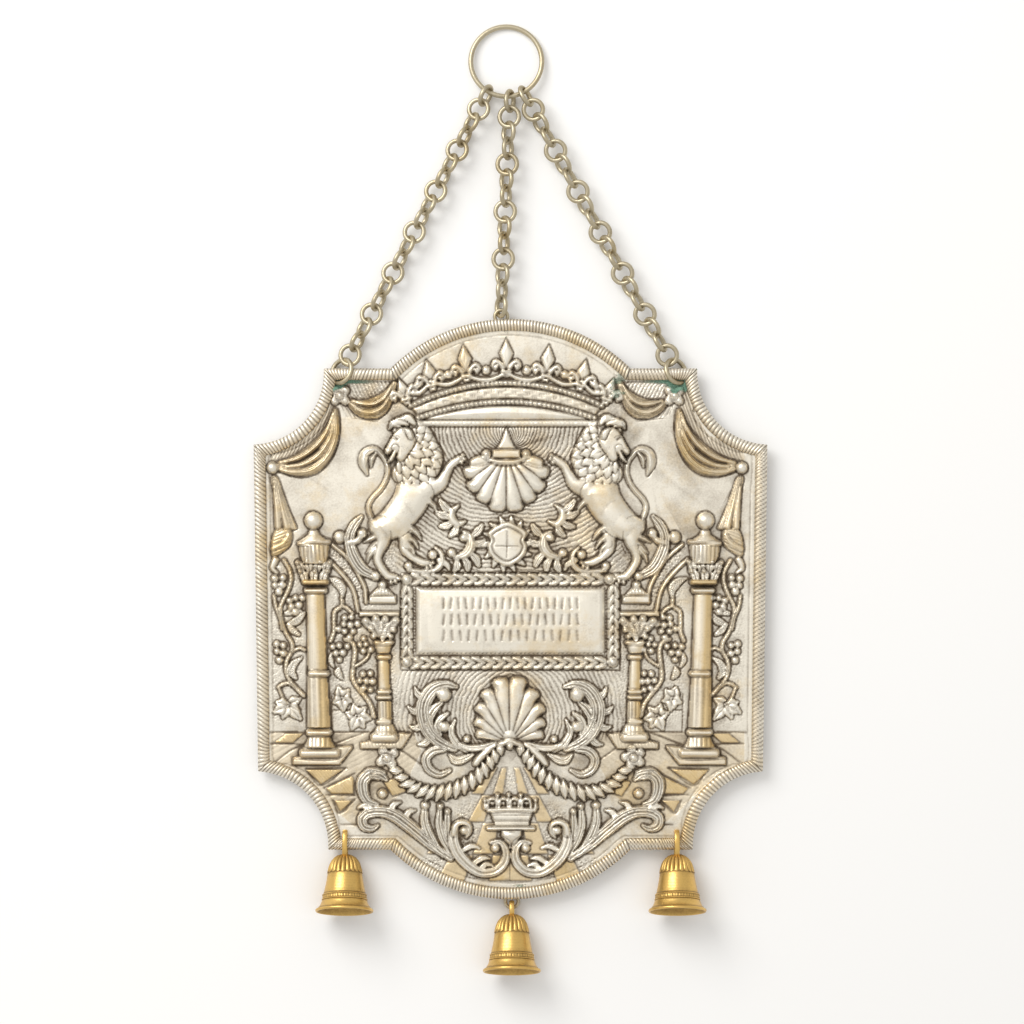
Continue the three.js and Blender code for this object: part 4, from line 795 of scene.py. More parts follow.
def acanthus(sheet, side):
    """Acanthus on both sides of the lower shell, with the garland and long leaves under it"""
    hand = Hand(sheet, side, 0.0)
    veined = ("along", 1.3, 0.8)
    hand.stroke(
        ((-24.5, -35, 1), (-29, -34, 2), (-34.6, -36, 3), (-38.6, -41.6, 3.4), (-39.2, -48, 3.4),
         (-36.6, -55, 3.2), (-31.6, -60, 2.6), (-25, -63, 1.4)), 3.2, "leaf", veined)
    for leaf in (((-38.6, -40), (-41.6, -38.4), (-43, -35.4)), ((-40.4, -46), (-43.6, -46), (-46, -44)),
                 ((-39.4, -52), (-42.4, -53.6), (-45, -53)), ((-36, -57.6), (-38.4, -60.4), (-41.4, -61))):
        hand.stroke(widened(leaf, (1.6, 1.5, 0.5)), 2, "leaf", ("along", 0.9, 0.6))
    hand.stroke(((-31, -42, 1), (-34.4, -45, 2), (-36.6, -49.6, 2), (-35, -55.4, 1.7),
                 (-30.6, -59, 1)), 2.9, "leaf", veined)
    hand.stroke(((-28.4, -47, 0.8), (-31.6, -49.4, 1.5), (-33, -53, 1.4), (-31.4, -56.4, 0.8)),
                2.8, "leaf", ("along", 1, 0.5))
    hand.boss((-30, -38.5), 3.3, 3.7)
    hand.boss((-29.6, -53), 2.5, 3.5)
    hand.stroke(((-25, -50, 0.6), (-26.8, -55.4, 1.4), (-24.2, -60.4, 1.7), (-19.6, -63.8, 1)),
                2.6, "leaf", ("along", 1, 0.5))
    hand.boss((-19.6, -58.6), 1.7, 3)
    hand.stroke(((-22.6, -61, 1), (-17.6, -62.6, 1.5), (-11, -61.8, 1.5), (-4, -59.6, 0.9)), 2.9, "leaf")
    hand.stroke(((-15.6, -69.4, 1.6), (-13.4, -66.6, 1.9), (-8.6, -62.6, 1.3), (-4, -59.8, 0.7)), 2.7)
    hand.stroke(((-30, -63, 1.4), (-35, -63.8, 2), (-38, -67.4, 2), (-36.6, -72, 1.9),
                 (-32, -74.4, 1.5), (-27.2, -72.6, 0.8)), 2.8, "leaf", veined)
    hand.stroke(((-27.4, -65.6, 0.8), (-24.6, -68, 2), (-21, -67.4, 1.9), (-17, -65.4, 0.7)), 2.6,
                "leaf", ("along", 1, 0.5))
    # Rope garland, its turns laid over each other
    rope = curve([(-3.4, -61.4), (-8, -67.4), (-13.4, -74.2), (-21, -79.6), (-30.4, -82.6),
                  (-38.6, -82.2), (-46, -78.8), (-51, -73.4), (-54, -69.6)], spacing=0.5)
    laid_under = rope[::8]
    hand.stroke(widened(laid_under, 2.9 * np.sin(np.linspace(0.5, 2.7, len(laid_under)))), 2)
    steps = np.arange(4, len(rope) - 4, 8)
    for i in steps:
        middle, ahead = rope[i], rope[i + 3] - rope[i - 3]
        ahead = ahead / math.hypot(*ahead)
        wide = 3.2 * math.sin(0.5 + 2.2 * i / len(rope))
        normal = np.array([-ahead[1], ahead[0]])
        ends = [middle - ahead * 1.7 - normal * wide, middle, middle + ahead * 1.7 + normal * wide]
        hand.stroke(widened(ends, (0.6, 1.9, 0.6)), 1.7, lines=("along", 1, 0.3), on=1.6, cut=0.6)
    rosette(sheet, hand.at(-55.4, -66.8), 4 if side < 0 else 5, 5)
    # Long leaf with a curled end, and the curl over it
    hand.stroke(((-66.6, -75.4, 1.2), (-63.6, -74, 2.6), (-58.6, -74.6, 2.6), (-56, -76.6, 1)), 2.8,
                "leaf", veined)
    hand.stroke(((-57, -73.6, 1), (-62.4, -73.8, 2.2), (-66.2, -77, 2.8), (-66.4, -82, 2.6),
                 (-64.2, -86.4, 1.9), (-60, -88, 0.9)), 3, "leaf", veined)
    hand.boss((-57.6, -83), 2.2, 3)
    hand.stroke(((-59.6, -97.4, 0.7), (-62.6, -98.8, 1.5), (-66, -97.6, 2.1), (-66.6, -94, 2.3),
                 (-63.4, -91.6, 2.4), (-57, -91.2, 2.6), (-51.4, -93.2, 3), (-46, -97.2, 3),
                 (-40.6, -101.8, 2.6), (-35, -106.6, 2.2), (-27, -112, 1.6)), 3.2, "leaf", veined)
    for leaf in (((-63, -89.8), (-66, -88.6), (-68.6, -89.6)), ((-54, -90.6), (-52.4, -88), (-49.6, -87)),
                 ((-47.6, -94), (-45.6, -91.4), (-42.8, -90.6))):
        hand.stroke(widened(leaf, (1.5, 1.4, 0.5)), 2.2, "leaf")
    for leaf in (((-38.6, -90, 1.3), (-38.6, -96, 2), (-35.6, -103.4, 2), (-30.4, -111, 1)),
                 ((-31.8, -90.6, 1.2), (-32, -97, 1.8), (-30, -104, 1.7), (-26, -110.6, 0.8)),
                 ((-28.4, -92, 1.2), (-28.6, -97, 1.5), (-28.2, -103, 1))):
        hand.stroke(leaf, 2.6, "leaf", ("along", 1.1, 0.7))
    for x, y, r in ((-38.4, -88.2, 1.9), (-31.6, -88.6, 1.5), (-28.4, -91, 1.4)):
        hand.boss((x, y), r, 2.8)


def volutes(sheet, side):
    """Volutes that carry the vase"""
    hand = Hand(sheet, side, 0.0)
    hand.stroke(
        ((-24.8, -98, 1.6), (-25.6, -104, 2.4), (-23.4, -110, 2.7), (-19, -115, 2.6), (-13.4, -118.4, 2.2),
         (-8, -118.2, 2.2), (-4, -115.6, 2.1), (-2, -111.4, 2), (-2.6, -107.4, 1.6), (-5, -104.8, 1.2),
         (-8.6, -105.2, 0.8)), 3.2, "leaf", ("along", 1.5, 0.5))
    hand.stroke(((-25.6, -101, 1.4), (-24.8, -97.4, 1.5), (-22, -95.8, 1.4), (-18.8, -97, 1.2),
                 (-18.4, -100.4, 1), (-20, -102.4, 0.8)), 3)
    hand.boss((-20.8, -99.6), 2.1, 3.1)
    hand.boss((-6.8, -107.5), 2, 3.1)
    for leaf in (((-16, -114), (-12.4, -112), (-9.4, -112.4)),
                 ((-20.6, -108), (-17.4, -106.6), (-14, -107.6)),
                 ((-13, -116.4), (-11, -114.8), (-8, -115.4))):
        hand.stroke(widened(leaf, (1.2, 1.3, 0.5)), 2, "leaf")


def crown_work(sheet):
    """Large crown: two rows of beads, a chequered band, leaves and pearls"""
    def over(rise, drop):
        return lambda x: rise - drop * ((x - CROWN_AXIS) / 43) ** 2
    band = [(x, over(99.9, 9.8)(x)) for x in np.linspace(-44.4, 40.6, 11)]
    band += [(x, over(94.6, 8.6)(x)) for x in np.linspace(38, -41.8, 11)]
    sheet.patch(band, 1.2, 1, smooth=False, gilt=0.15)
    for row in range(3):
        for i in range(27):
            x = -43 + 3.1 * i
            y = over(98.8 - 1.5 * row, 9.4)(x)
            if (i + row) % 2:
                for cut in (0.5, 1.3, 2.1):
                    sheet.groove([(x + cut, y + 0.4), (x + cut, y - 0.8)], 0.28, 0.3, 0.7)
            else:
                sheet.groove([(x, y - 0.9), (x + 3, y - 0.95)], 0.25, 0.2, 0.5)
    lens = [(x, over(91.8, 7.4)(x)) for x in np.linspace(-36.6, 32.8, 9)] + [(35, 85), (-38.8, 85)]
    sheet.patch(lens, 1.5, 5, smooth=False, swell=0.5)
    for curve_over, low, high, count in ((over(101.7, 10.2), -45, 41.2, 43),
                                         (over(93.2, 8.6), -41.6, 37.8, 40)):
        xs = np.linspace(low, high, count)
        sheet.stroke([(x, curve_over(x), 1.3) for x in xs[::3]], 1.2, "band", cut=0.35)
        for x in xs:
            sheet.boss((x, curve_over(x)), 1, 2.1, cut=0.3)
    sheet.patch([(-42, 84.8), (38.2, 84.8), (39, 82.3), (-42.8, 82.3)], 1.2, 0.9, smooth=False)
    for i in range(40):
        x = -41.4 + 2 * i
        sheet.groove([(x, 84), (x, 83)], 0.25, 0.2, 0.45)
    # Seven leaves on scrolled feet, with swags and pearls between them
    fleurs = ((0, 121.5, 109.6, 0), (18.2, 119.0, 107.6, 6), (34, 112.6, 103.4, 13), (46, 104.4, 97, 20))
    for x, top, knot, lean in fleurs:
        for side in ((1,) if x == 0 else (-1, 1)):
            tilt = math.radians(lean) * -side

            def at(dx, dy, half=0.0, x=x, knot=knot, side=side, tilt=tilt):
                return (CROWN_AXIS + side * x + dx * math.cos(tilt) - dy * math.sin(tilt),
                        knot + dx * math.sin(tilt) + dy * math.cos(tilt), half)
            tip = top - knot
            sheet.patch([at(0, tip)[:2], at(3.1, tip - 6.4)[:2], at(1.3, 0)[:2], at(0, -4.4)[:2],
                         at(-1.3, 0)[:2], at(-3.1, tip - 6.4)[:2]], 1.8, 2, smooth=False, cut=0.5)
            sheet.groove([at(0, tip - 1.6)[:2], at(0, tip - 8)[:2]], 0.25, 0.25, 0.4)
            for way in (-1, 1):
                sheet.stroke([at(way * 0.6, -4.6, 0.9), at(way * 2, -0.4, 1.2), at(way * 4.6, 1.8, 1.2),
                              at(way * 6, 0, 1), at(way * 4.8, -1.6, 0.9)], 2.1, cut=0.45)
                sheet.boss(at(way * 4.4, -0.6)[:2], 1, 2.1, cut=0.3)
            sheet.stroke([at(-2, -2.8, 0.8), at(2, -2.8, 0.8)], 2.5, cut=0.35)
    feet = [(-46.4, 96.4), (-35.9, 101.2), (-20.1, 104), (-1.9, 105), (16.3, 104), (32.1, 101.2),
            (42.6, 96.4)]
    for (a, b), (c, d) in zip(feet, feet[1:]):
        sheet.stroke([(a + 0.2, b + 1.2, 0.8), ((3 * a + c) / 4, (3 * b + d) / 4 - 0.6, 1),
                      ((a + c) / 2, (b + d) / 2 - 1.5, 1.1), ((a + 3 * c) / 4, (b + 3 * d) / 4 - 0.6, 1),
                      (c - 0.2, d + 1.2, 0.8)], 1.9)
    for x, y, r in ((-10.9, 107.4, 2), (7.3, 107.4, 2), (-28, 105.4, 1.9), (24.4, 105.4, 1.9),
                    (-41.6, 101, 1.7), (37.8, 101, 1.7)):
        sheet.boss((x, y), r, 2.4)


def shell(sheet, hinge, ribs, height):
    """A scallop from its hinge: broad lobes of (angle from upright, reach), parted by grooves"""
    turns = np.array([turn for turn, _ in ribs], dtype=float)
    reaches = np.array([reach for _, reach in ribs], dtype=float)
    edges = np.concatenate([[1.5 * turns[0] - 0.5 * turns[1]], (turns[1:] + turns[:-1]) / 2,
                            [1.5 * turns[-1] - 0.5 * turns[-2]]])

    def at(turn, reach):
        angle = math.radians(turn)
        return (hinge[0] + reach * math.sin(angle), hinge[1] + reach * math.cos(angle))
    outline = [hinge]
    for i, (turn, reach) in enumerate(ribs):
        low, high = edges[i], edges[i + 1]
        for share in (0.0, 0.2, 0.5, 0.8, 1.0):
            swell = 1 - 0.06 * (2 * share - 1) ** 4
            outline.append(at(low + share * (high - low), reach * swell))
    sheet.patch(outline, height, 3.4, smooth=False, swell=0.7, cut=0.5)
    for edge, reach in zip(edges[1:-1], (reaches[1:] + reaches[:-1]) / 2):
        line = [at(edge, 0.2 * reach), at(edge, 0.6 * reach), at(edge, 0.95 * reach)]
        sheet.groove(line, 1.5, 0.5, 0.08)
        sheet.groove(line, 0.42, 0.55, 1)
    for turn, reach in ribs:
        sheet.groove([at(turn - 3, 0.88 * reach), at(turn, 0.91 * reach), at(turn + 3, 0.88 * reach)],
                     0.22, 0.15, 0.4)


def upper_shell(sheet):
    """Shell that hangs from a scrolled clasp between the lions"""
    sheet.patch([(-6.6, 71.6), (2.8, 71.6), (0.4, 75.6), (-1.9, 82), (-4.2, 75.6)], 1.4, 1.6, smooth=False)
    ribs = [(180 + a, r) for a, r in ((-62, 21.4), (-44, 23.6), (-27, 25), (-9.5, 27), (9.5, 27),
                                      (27, 25), (44, 23.6), (62, 21.4))]
    shell(sheet, (CROWN_AXIS, 70.4), ribs, 3)
    sheet.patch([(-18.4, 66.8), (-14.4, 69), (-9, 69.4), (-9, 66.4), (-13, 64.6), (-18, 64)], 3, 1.6)
    sheet.patch([(14.6, 66.8), (10.6, 69), (5.2, 69.4), (5.2, 66.4), (9.2, 64.6), (14.2, 64)], 3, 1.6)
    sheet.stroke([(-9.4, 67.4, 1.2), (-5, 66.2, 1.5), (1.2, 66.2, 1.5), (5.6, 67.4, 1.2)], 3.6)
    sheet.patch([(-8, 71.8), (4.2, 71.8), (4.8, 67.8), (-8.6, 67.8)], 3.6, 1, smooth=False)
    for x in (-10.8, 7):
        sheet.boss((x, 69.6), 2.2, 4)
        sheet.groove([(x - 1.1, 69.4), (x, 70.6), (x + 1.1, 69.6), (x + 0.2, 68.8)], 0.3, 0.4)


def small_shield(sheet):
    """Small shield with a plain cross of lines, under the shell"""
    outer = [(-1.4, 39.4), (-6, 37.6), (-10.2, 34.4), (-9.2, 31), (-10.4, 27.6), (-8, 22.8),
             (-1.4, 19.2), (5.2, 22.8), (7.6, 27.6), (6.4, 31), (7.4, 34.4), (3.2, 37.6)]
    for i in range(14):
        turn = 2 * math.pi * i / 14
        x, y = -1.4 + 8.6 * math.cos(turn), 29.2 + 9.8 * math.sin(turn)
        sheet.stroke([(x, y, 1.5), (x + 2.6 * math.cos(turn + 0.3), y + 2.6 * math.sin(turn + 0.3), 0.6)],
                     1.7, "leaf")
    sheet.patch(outer, 2.3, 1)
    sheet.patch([(-1.4 + 0.74 * (x + 1.4), 29.2 + 0.74 * (y - 29.2)) for x, y in outer], -0.1, 0.8, on=2.3)
    sheet.groove([(-1.4 + 0.76 * (x + 1.4), 29.2 + 0.76 * (y - 29.2)) for x, y in outer + outer[:1]],
                 0.45, 0.8)
    sheet.groove([(-1.5, 35), (-1.6, 23.4)], 0.35, 0.35)
    sheet.groove([(-6.6, 28.4), (3.8, 28.2)], 0.35, 0.35)


def plait(sheet, start, end, pitch, flow, half):
    """A band of leaves laid over each other, pointing along it"""
    start, end = np.array(start, dtype=float), np.array(end, dtype=float)
    length = math.dist(start, end)
    ahead = (end - start) / length
    normal = np.array([-ahead[1], ahead[0]])
    sheet.stroke([(*start, half), (*end, half)], 1.2, "band")
    count = round(length / pitch)
    for i in range(count):
        share = (i + 0.5) / count
        middle = start + (end - start) * (share if flow > 0 else 1 - share)
        for side in (-1, 1):
            leaf = [middle - flow * ahead * 0.6 * pitch + side * normal * half * 0.94,
                    middle + side * normal * half * 0.55,
                    middle + flow * ahead * 0.55 * pitch + side * normal * 0.1]
            sheet.stroke([(*leaf[0], 0.7), (*leaf[1], 1.25), (*leaf[2], 0.5)], 1.3, "ridge",
                         ("along", 0.8, 0.4), on=0.9, cut=0.45)


def framed_panel(sheet):
    """Framed panel: plaited leaves, buttons at its corners, a punched line and a plain field"""
    sheet.patch([(-49, 15.8), (49, 15.8), (49, -27.2), (-49, -27.2)], 0.8, 0.6, smooth=False)
    plait(sheet, (-44, 13.4), (42.4, 13.4), 4.9, 1, 2.3)
    plait(sheet, (-44, -24.2), (43.6, -24.2), 4.7, 1, 2.4)
    plait(sheet, (-46.6, -21.2), (-46.6, 10.6), 4.7, 1, 2.2)
    plait(sheet, (46.2, -21.2), (46.2, 10.6), 4.7, 1, 2.2)
    for spot in ((-46.6, 13.2), (44.6, 13.4), (-46.6, -23.8), (46, -23.8)):
        sheet.boss(spot, 2.4, 2.6, on=0.4)
        sheet.groove([(spot[0] + 1.4 * math.cos(t), spot[1] + 1.4 * math.sin(t))
                      for t in np.linspace(0, 6.2, 9)], 0.3, 0.5)
    sheet.patch([(-42.2, 9.8), (42, 9.8), (42, -20.4), (-42.2, -20.4)], 1.9, 2.2, smooth=False, swell=0.9)
    for x in (-43.2, 43.2):
        for i in range(20):
            sheet.groove([(x - 0.3, 8.4 - 1.45 * i), (x + 0.3, 8.4 - 1.45 * i)], 0.45, 0.5)
    for i in range(44):
        x = -41 + 1.9 * i
        sheet.groove([(x, 9.4), (x + 0.9, 8.9), (x + 1.8, 9.4)], 0.3, 0.35, 0.6)
        sheet.groove([(x, -19.9), (x + 0.9, -19.4), (x + 1.8, -19.9)], 0.3, 0.35, 0.6)
    # Rows of short upright strokes, in place of an inscription
    for row, (top, foot) in enumerate(((4.6, 0.6), (-2.6, -6.6), (-9.8, -13.8))):
        count = 19 - row
        for i in range(count):
            x = -30 + 60 * i / (count - 1)
            lean = 0.25 * math.sin(1.7 * i + row)
            sheet.groove([(x + lean, top), (x, (top + foot) / 2), (x - lean, foot)], 0.7, 0.45, 0.75)


def lower_shell(sheet):
    """Shell that stands over the garland"""
    ribs = [(-74, 15.8), (-56, 18.6), (-40, 22.4), (-25, 26.2), (-9, 29.6), (8, 30), (25, 26.4),
            (41, 22.6), (57, 18.6), (75, 15.8)]
    shell(sheet, (-0.4, -60), ribs, 3.1)
    sheet.stroke([(-4.6, -60.6, 1.2), (-0.4, -59.6, 1.6), (3.8, -60.6, 1.2)], 3.6)
    sheet.boss((-0.3, -61.6), 1.7, 3.6)


def small_crown(sheet):
    """Small crown on its vase, between the volutes"""
    sheet.patch([(-9.6, -90.4), (10.4, -90.4), (8.4, -96), (-7.4, -96)], 2, 1.2, smooth=False)
    for y in (-92.6, -94.8):
        sheet.groove([(-8.4, y), (9.2, y)], 0.3, 0.4)
    sheet.stroke([(-10, -90.4, 1.1), (0.4, -90, 1.1), (10.8, -90.4, 1.1)], 2.6)
    for x in (-8.2, -3.1, 1.9, 7.1):
        sheet.stroke(
            [(x - 2, -89, 0.7), (x - 1.3, -85.6, 0.8), (x + 1.3, -85.6, 0.8), (x + 2, -89, 0.7)], 2.2)
        sheet.boss((x, -87.4), 1, 0.6, cut=0.7)
    for x, y in ((-11.5, -86), (-5.8, -83.8), (-0.8, -83.6), (4.6, -83.8), (11.3, -86)):
        sheet.stroke([(x, y - 3.4, 1.1), (x, y, 0.5)], 2.4, "ridge")
        sheet.boss((x, y), 1, 2.3, cut=0.3)
    sheet.stroke([(-6.4, -96.7, 0.9), (7.6, -96.7, 0.9)], 2.1)
    sheet.stroke([(-10, -98.6, 1), (10.4, -98.6, 1)], 2.7)
    hand = Hand(sheet, -1, 0.0)
    turned(hand, (0.4, -99), (0.4, -108), [(-99.6, 4.6), (-101.8, 4.7), (-104.4, 2.6),
                                           (-106, 1.1), (-108, 0.7)])
    sheet.groove([(-3.6, -102), (-0.4, -104), (0.4, -107)], 0.35, 0.5)
    sheet.groove([(4.4, -102), (1.4, -104), (0.4, -107)], 0.35, 0.5)


def chased_sheet(step):
    """The whole relief, ground first and what lies on top last"""
    sheet = ChasedSheet(step)
    ground_work(sheet)
    for side in (-1, 1):
        cloth_work(sheet, side)
        arch_and_bracket(sheet, side)
        vines(sheet, side)
        large_column(sheet, side)
        small_column(sheet, side)
        upper_scrolls(sheet, side)
        lion(sheet, side)
    crown_work(sheet)
    upper_shell(sheet)
    small_shield(sheet)
    framed_panel(sheet)
    for side in (-1, 1):
        acanthus(sheet, side)
        volutes(sheet, side)
    lower_shell(sheet)
    small_crown(sheet)
    # Green crust by the holes of the chains, and a few spots elsewhere
    for seed, (x, y, radius, strength) in enumerate((
            (79, 103, 7, 1), (73, 104, 6, 1), (84, 106, 6, 1), (-80, 101.6, 5, 1), (-76, 104, 4, 1),
            (-3.5, 126, 3.4, 0.7), (47.6, 97, 3, 0.5), (48.6, 103, 3, 0.5), (-80, -102, 3, 0.7),
            (3, -125, 3, 0.6), (60, 102.6, 3, 0.5))):
        sheet.stain((x, y), radius, strength, seed)
    return sheet


# Making pieces


def added(primitive, **settings):
    """A primitive, added with nothing else selected"""
    bpy.ops.object.select_all(action="DESELECT")
    primitive(**settings)
    return bpy.context.object


def spots_of(piece):
    """The points of a mesh, one row each"""
    spots = np.empty(3 * len(piece.data.vertices))
    piece.data.vertices.foreach_get("co", spots)
    return spots.reshape(-1, 3)


def put_spots(piece, spots):
    """Moves the points of a mesh"""
    piece.data.vertices.foreach_set("co", np.ascontiguousarray(spots, dtype=float).ravel())
    piece.data.update()


def mark(piece, name, values):
    """A finish mark kept on each point of a piece"""
    layer = piece.data.attributes.get(name) or piece.data.attributes.new(name, "FLOAT", "POINT")
    layer.data.foreach_set("value", np.ascontiguousarray(values, dtype=float).ravel())


def picked(*pieces):
    """Selects these pieces alone, the first one active"""
    bpy.ops.object.select_all(action="DESELECT")
    for piece in pieces:
        piece.select_set(True)
    bpy.context.view_layer.objects.active = pieces[0]


def closed_up(piece, reach=1e-6):
    """Merges points that meet and turns the faces outwards"""
    bpy.ops.object.mode_set(mode="EDIT")
    bpy.ops.mesh.select_all(action="SELECT")
    bpy.ops.mesh.remove_doubles(threshold=reach)
    bpy.ops.mesh.normals_make_consistent(inside=False)
    bpy.ops.object.mode_set(mode="OBJECT")


def named(piece, name, node_names, finish, angle=50):
    """Names a finished piece, smooths it, gives it its finish, hangs it on the root body and hides the
    parts it stands for
    """
    piece.name = name
    piece.data.name = name
    piece.data.materials.clear()
    piece.data.materials.append(finish)
    picked(piece)
    bpy.ops.object.shade_smooth_by_angle(angle=math.radians(angle))
    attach(piece, "root")
    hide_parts(*node_names)
    return piece


def skinned(places, **marks):
    """A closed skin through rows of drawn places; its seams and its ends are brought together"""
    rows, columns = places.shape[:2]
    piece = added(bpy.ops.mesh.primitive_grid_add, x_subdivisions=columns - 1, y_subdivisions=rows - 1,
                  size=2)
    put_spots(piece, place(places.reshape(-1, 3)))
    for name, values in marks.items():
        mark(piece, name, np.broadcast_to(values, (rows, columns)))
    closed_up(piece)
    return piece


def joined(pieces):
    """Several meshes as one piece"""
    picked(*pieces)
    bpy.ops.object.join()
    return pieces[0]


def applied(piece):
    """Puts a piece's place and turn into its mesh"""
    picked(piece)
    bpy.ops.object.transform_apply(location=True, rotation=True, scale=True)
    return piece


def nearest_on_rim(points):
    """The places on the rim that are nearest to some points"""
    ends = np.roll(RIM, -1, axis=0)
    way = ends - RIM
    best = np.full(len(points), np.inf)
    found = np.array(points)
    for a, w in zip(RIM, way):
        share = np.clip(((points - a) @ w) / (w @ w), 0, 1)
        there = a + share[:, None] * w
        distance = np.hypot(*(points - there).T)
        closer = distance < best
        best[closer] = distance[closer]
        found[closer] = there[closer]
    return found


# Reach in mm over which the relief is averaged: for the back, and for the hollows darkened with tarnish and
# painted shade
BACK_REACH = 1.4
NARROW_REACH = 1.1
WIDE_REACH = 3.4
# Tarnish and painted shade laid evenly over the back of the sheet
BACK_TARNISH_AND_SHADE = 0.15


def relief_sheet(pitch, limit):
    """The embossed sheet: its face carries the relief, its back the softer hollows of the work"""
    sheet = chased_sheet(pitch)
    rows, columns = sheet.height.shape
    x, y = np.meshgrid(sheet.x, sheet.y)
    piece = added(bpy.ops.mesh.primitive_grid_add, x_subdivisions=columns - 1, y_subdivisions=rows - 1,
                  size=2)
    mesh = piece.data
    put_spots(piece, place(np.stack([x, y, 0 * x], axis=2).reshape(-1, 3)))
    layer = mesh.attributes.new("spot", "INT", "POINT")
    layer.data.foreach_set("value", np.arange(rows * columns, dtype=np.int32))
    outside = ~inside_of(RIM, x, y).ravel()
    mesh.polygons.foreach_set("select", np.zeros(len(mesh.polygons), dtype=bool))
    mesh.edges.foreach_set("select", np.zeros(len(mesh.edges), dtype=bool))
    mesh.vertices.foreach_set("select", outside)
    bpy.ops.object.mode_set(mode="EDIT")
    bpy.ops.mesh.select_mode(type="VERT")
    bpy.ops.mesh.delete(type="VERT")
    bpy.ops.object.mode_set(mode="OBJECT")
    # The rim: points of edges with one face only
    corners = np.empty(len(mesh.loops), dtype=np.int32)
    mesh.loops.foreach_get("edge_index", corners)
    lone = np.flatnonzero(np.bincount(corners, minlength=len(mesh.edges)) == 1)
    ends = np.empty(2 * len(mesh.edges), dtype=np.int32)
    mesh.edges.foreach_get("vertices", ends)
    border = np.unique(ends.reshape(-1, 2)[lone])
    spots = spots_of(piece)
    drawn = spots[border] / MM - place([0, 0, 0]) / MM
    drawn[:, :2] = nearest_on_rim(drawn[:, :2])
    spots[border] = place(drawn)
    put_spots(piece, spots)
    bpy.ops.object.mode_set(mode="EDIT")
    bpy.ops.mesh.select_all(action="SELECT")
    bpy.ops.mesh.extrude_region_move(TRANSFORM_OT_translate={"value": (0, 0, SHEET_THICKNESS * MM)})
    bpy.ops.object.mode_set(mode="OBJECT")
    face = np.empty(len(mesh.vertices), dtype=bool)
    mesh.vertices.foreach_get("select", face)
    spot = np.empty(len(mesh.vertices), dtype=np.int32)
    mesh.attributes["spot"].data.foreach_get("value", spot)
    soft = blurred(sheet.height, round(BACK_REACH / pitch))
    back = BACK_LEVEL + np.clip(0.8 * soft - 0.3, 0, sheet.height + 0.3)
    level = np.where(face, (FACE_LEVEL + sheet.height).ravel()[spot], back.ravel()[spot])
    spots = spots_of(piece)
    spots[:, 2] = (level + LIFT) * MM
    put_spots(piece, spots)
    # Tarnish and painted shade: darker in narrow cuts, broadly round the foot of raised work, and where the
    # sheet is marked dark
    sunk = np.clip((blurred(sheet.height, round(NARROW_REACH / pitch)) - sheet.height) * 0.55, 0, 0.6)
    wide = np.clip((blurred(sheet.height, round(WIDE_REACH / pitch)) - sheet.height) * 0.3, 0, 0.42)
    recess = np.clip(sunk + wide + 0.7 * sheet.dark, 0, 1)
    for name, field in (("recess", recess), ("gilt", sheet.gilt), ("phase", sheet.phase),
                        ("lines", sheet.lines), ("crust", sheet.crust), ("swirl", sheet.swirl),
                        ("matt", sheet.matt)):
        mark(piece, name, np.where(face, field.ravel()[spot], BACK_TARNISH_AND_SHADE if name == "recess" else 0))
    mesh.attributes.remove(mesh.attributes["spot"])
    closed_up(piece, 1e-7)
    triangles = 2 * len(mesh.polygons)
    if triangles > limit:
        thin = piece.modifiers.new("Thin", "DECIMATE")
        thin.ratio = limit / triangles
        bpy.ops.object.modifier_apply(modifier=thin.name)
    return piece


def flattened_shading(piece):
    """Lets the broad faces lead the shading, so the flat ground reflects as flat"""
    leading = piece.modifiers.new("Leading faces", "WEIGHTED_NORMAL")
    leading.weight = 60
    bpy.context.view_layer.objects.active = piece
    bpy.ops.object.modifier_apply(modifier=leading.name)


# Border strips: pitch of the flutes in mm, and how far they lean over the strip's width
FLUTES = {"arch": (1.5, 0.1), "shoulder": (1.5, 1.2), "bite": (1.7, 0.3), "side": (2.0, 1.7)}
# Rows of points within one flute, and how far from its ends a strip bends to its mitre
FLUTE_SHARES = (0.0, 0.14, 0.32, 0.5, 0.68, 0.86)
MITRE_REACH = 14.0
FINE_STEPS = 400
CORNER_STEPS = 60
# Section of a strip, as shares of its width and height
STRIP_SECTION = [(0, 0), (0.0, 0.3), (0.05, 0.56), (0.14, 0.78), (0.3, 0.96), (0.5, 1), (0.7, 0.96),
                 (0.86, 0.78), (0.95, 0.56), (1, 0.3), (1, 0), (0.5, 0), (0, 0)]


def corner_turn(index):
    """How far the rim turns where a stretch starts, to the left of the way"""
    before = stretch_points(index - 1, CORNER_STEPS)
    after = stretch_points(index, CORNER_STEPS)
    arrive = after[0] - before[-1]
    leave = after[1] - after[0]
    turn = math.atan2(leave[1], leave[0]) - math.atan2(arrive[1], arrive[0])
    return (turn + math.pi) % (2 * math.pi) - math.pi


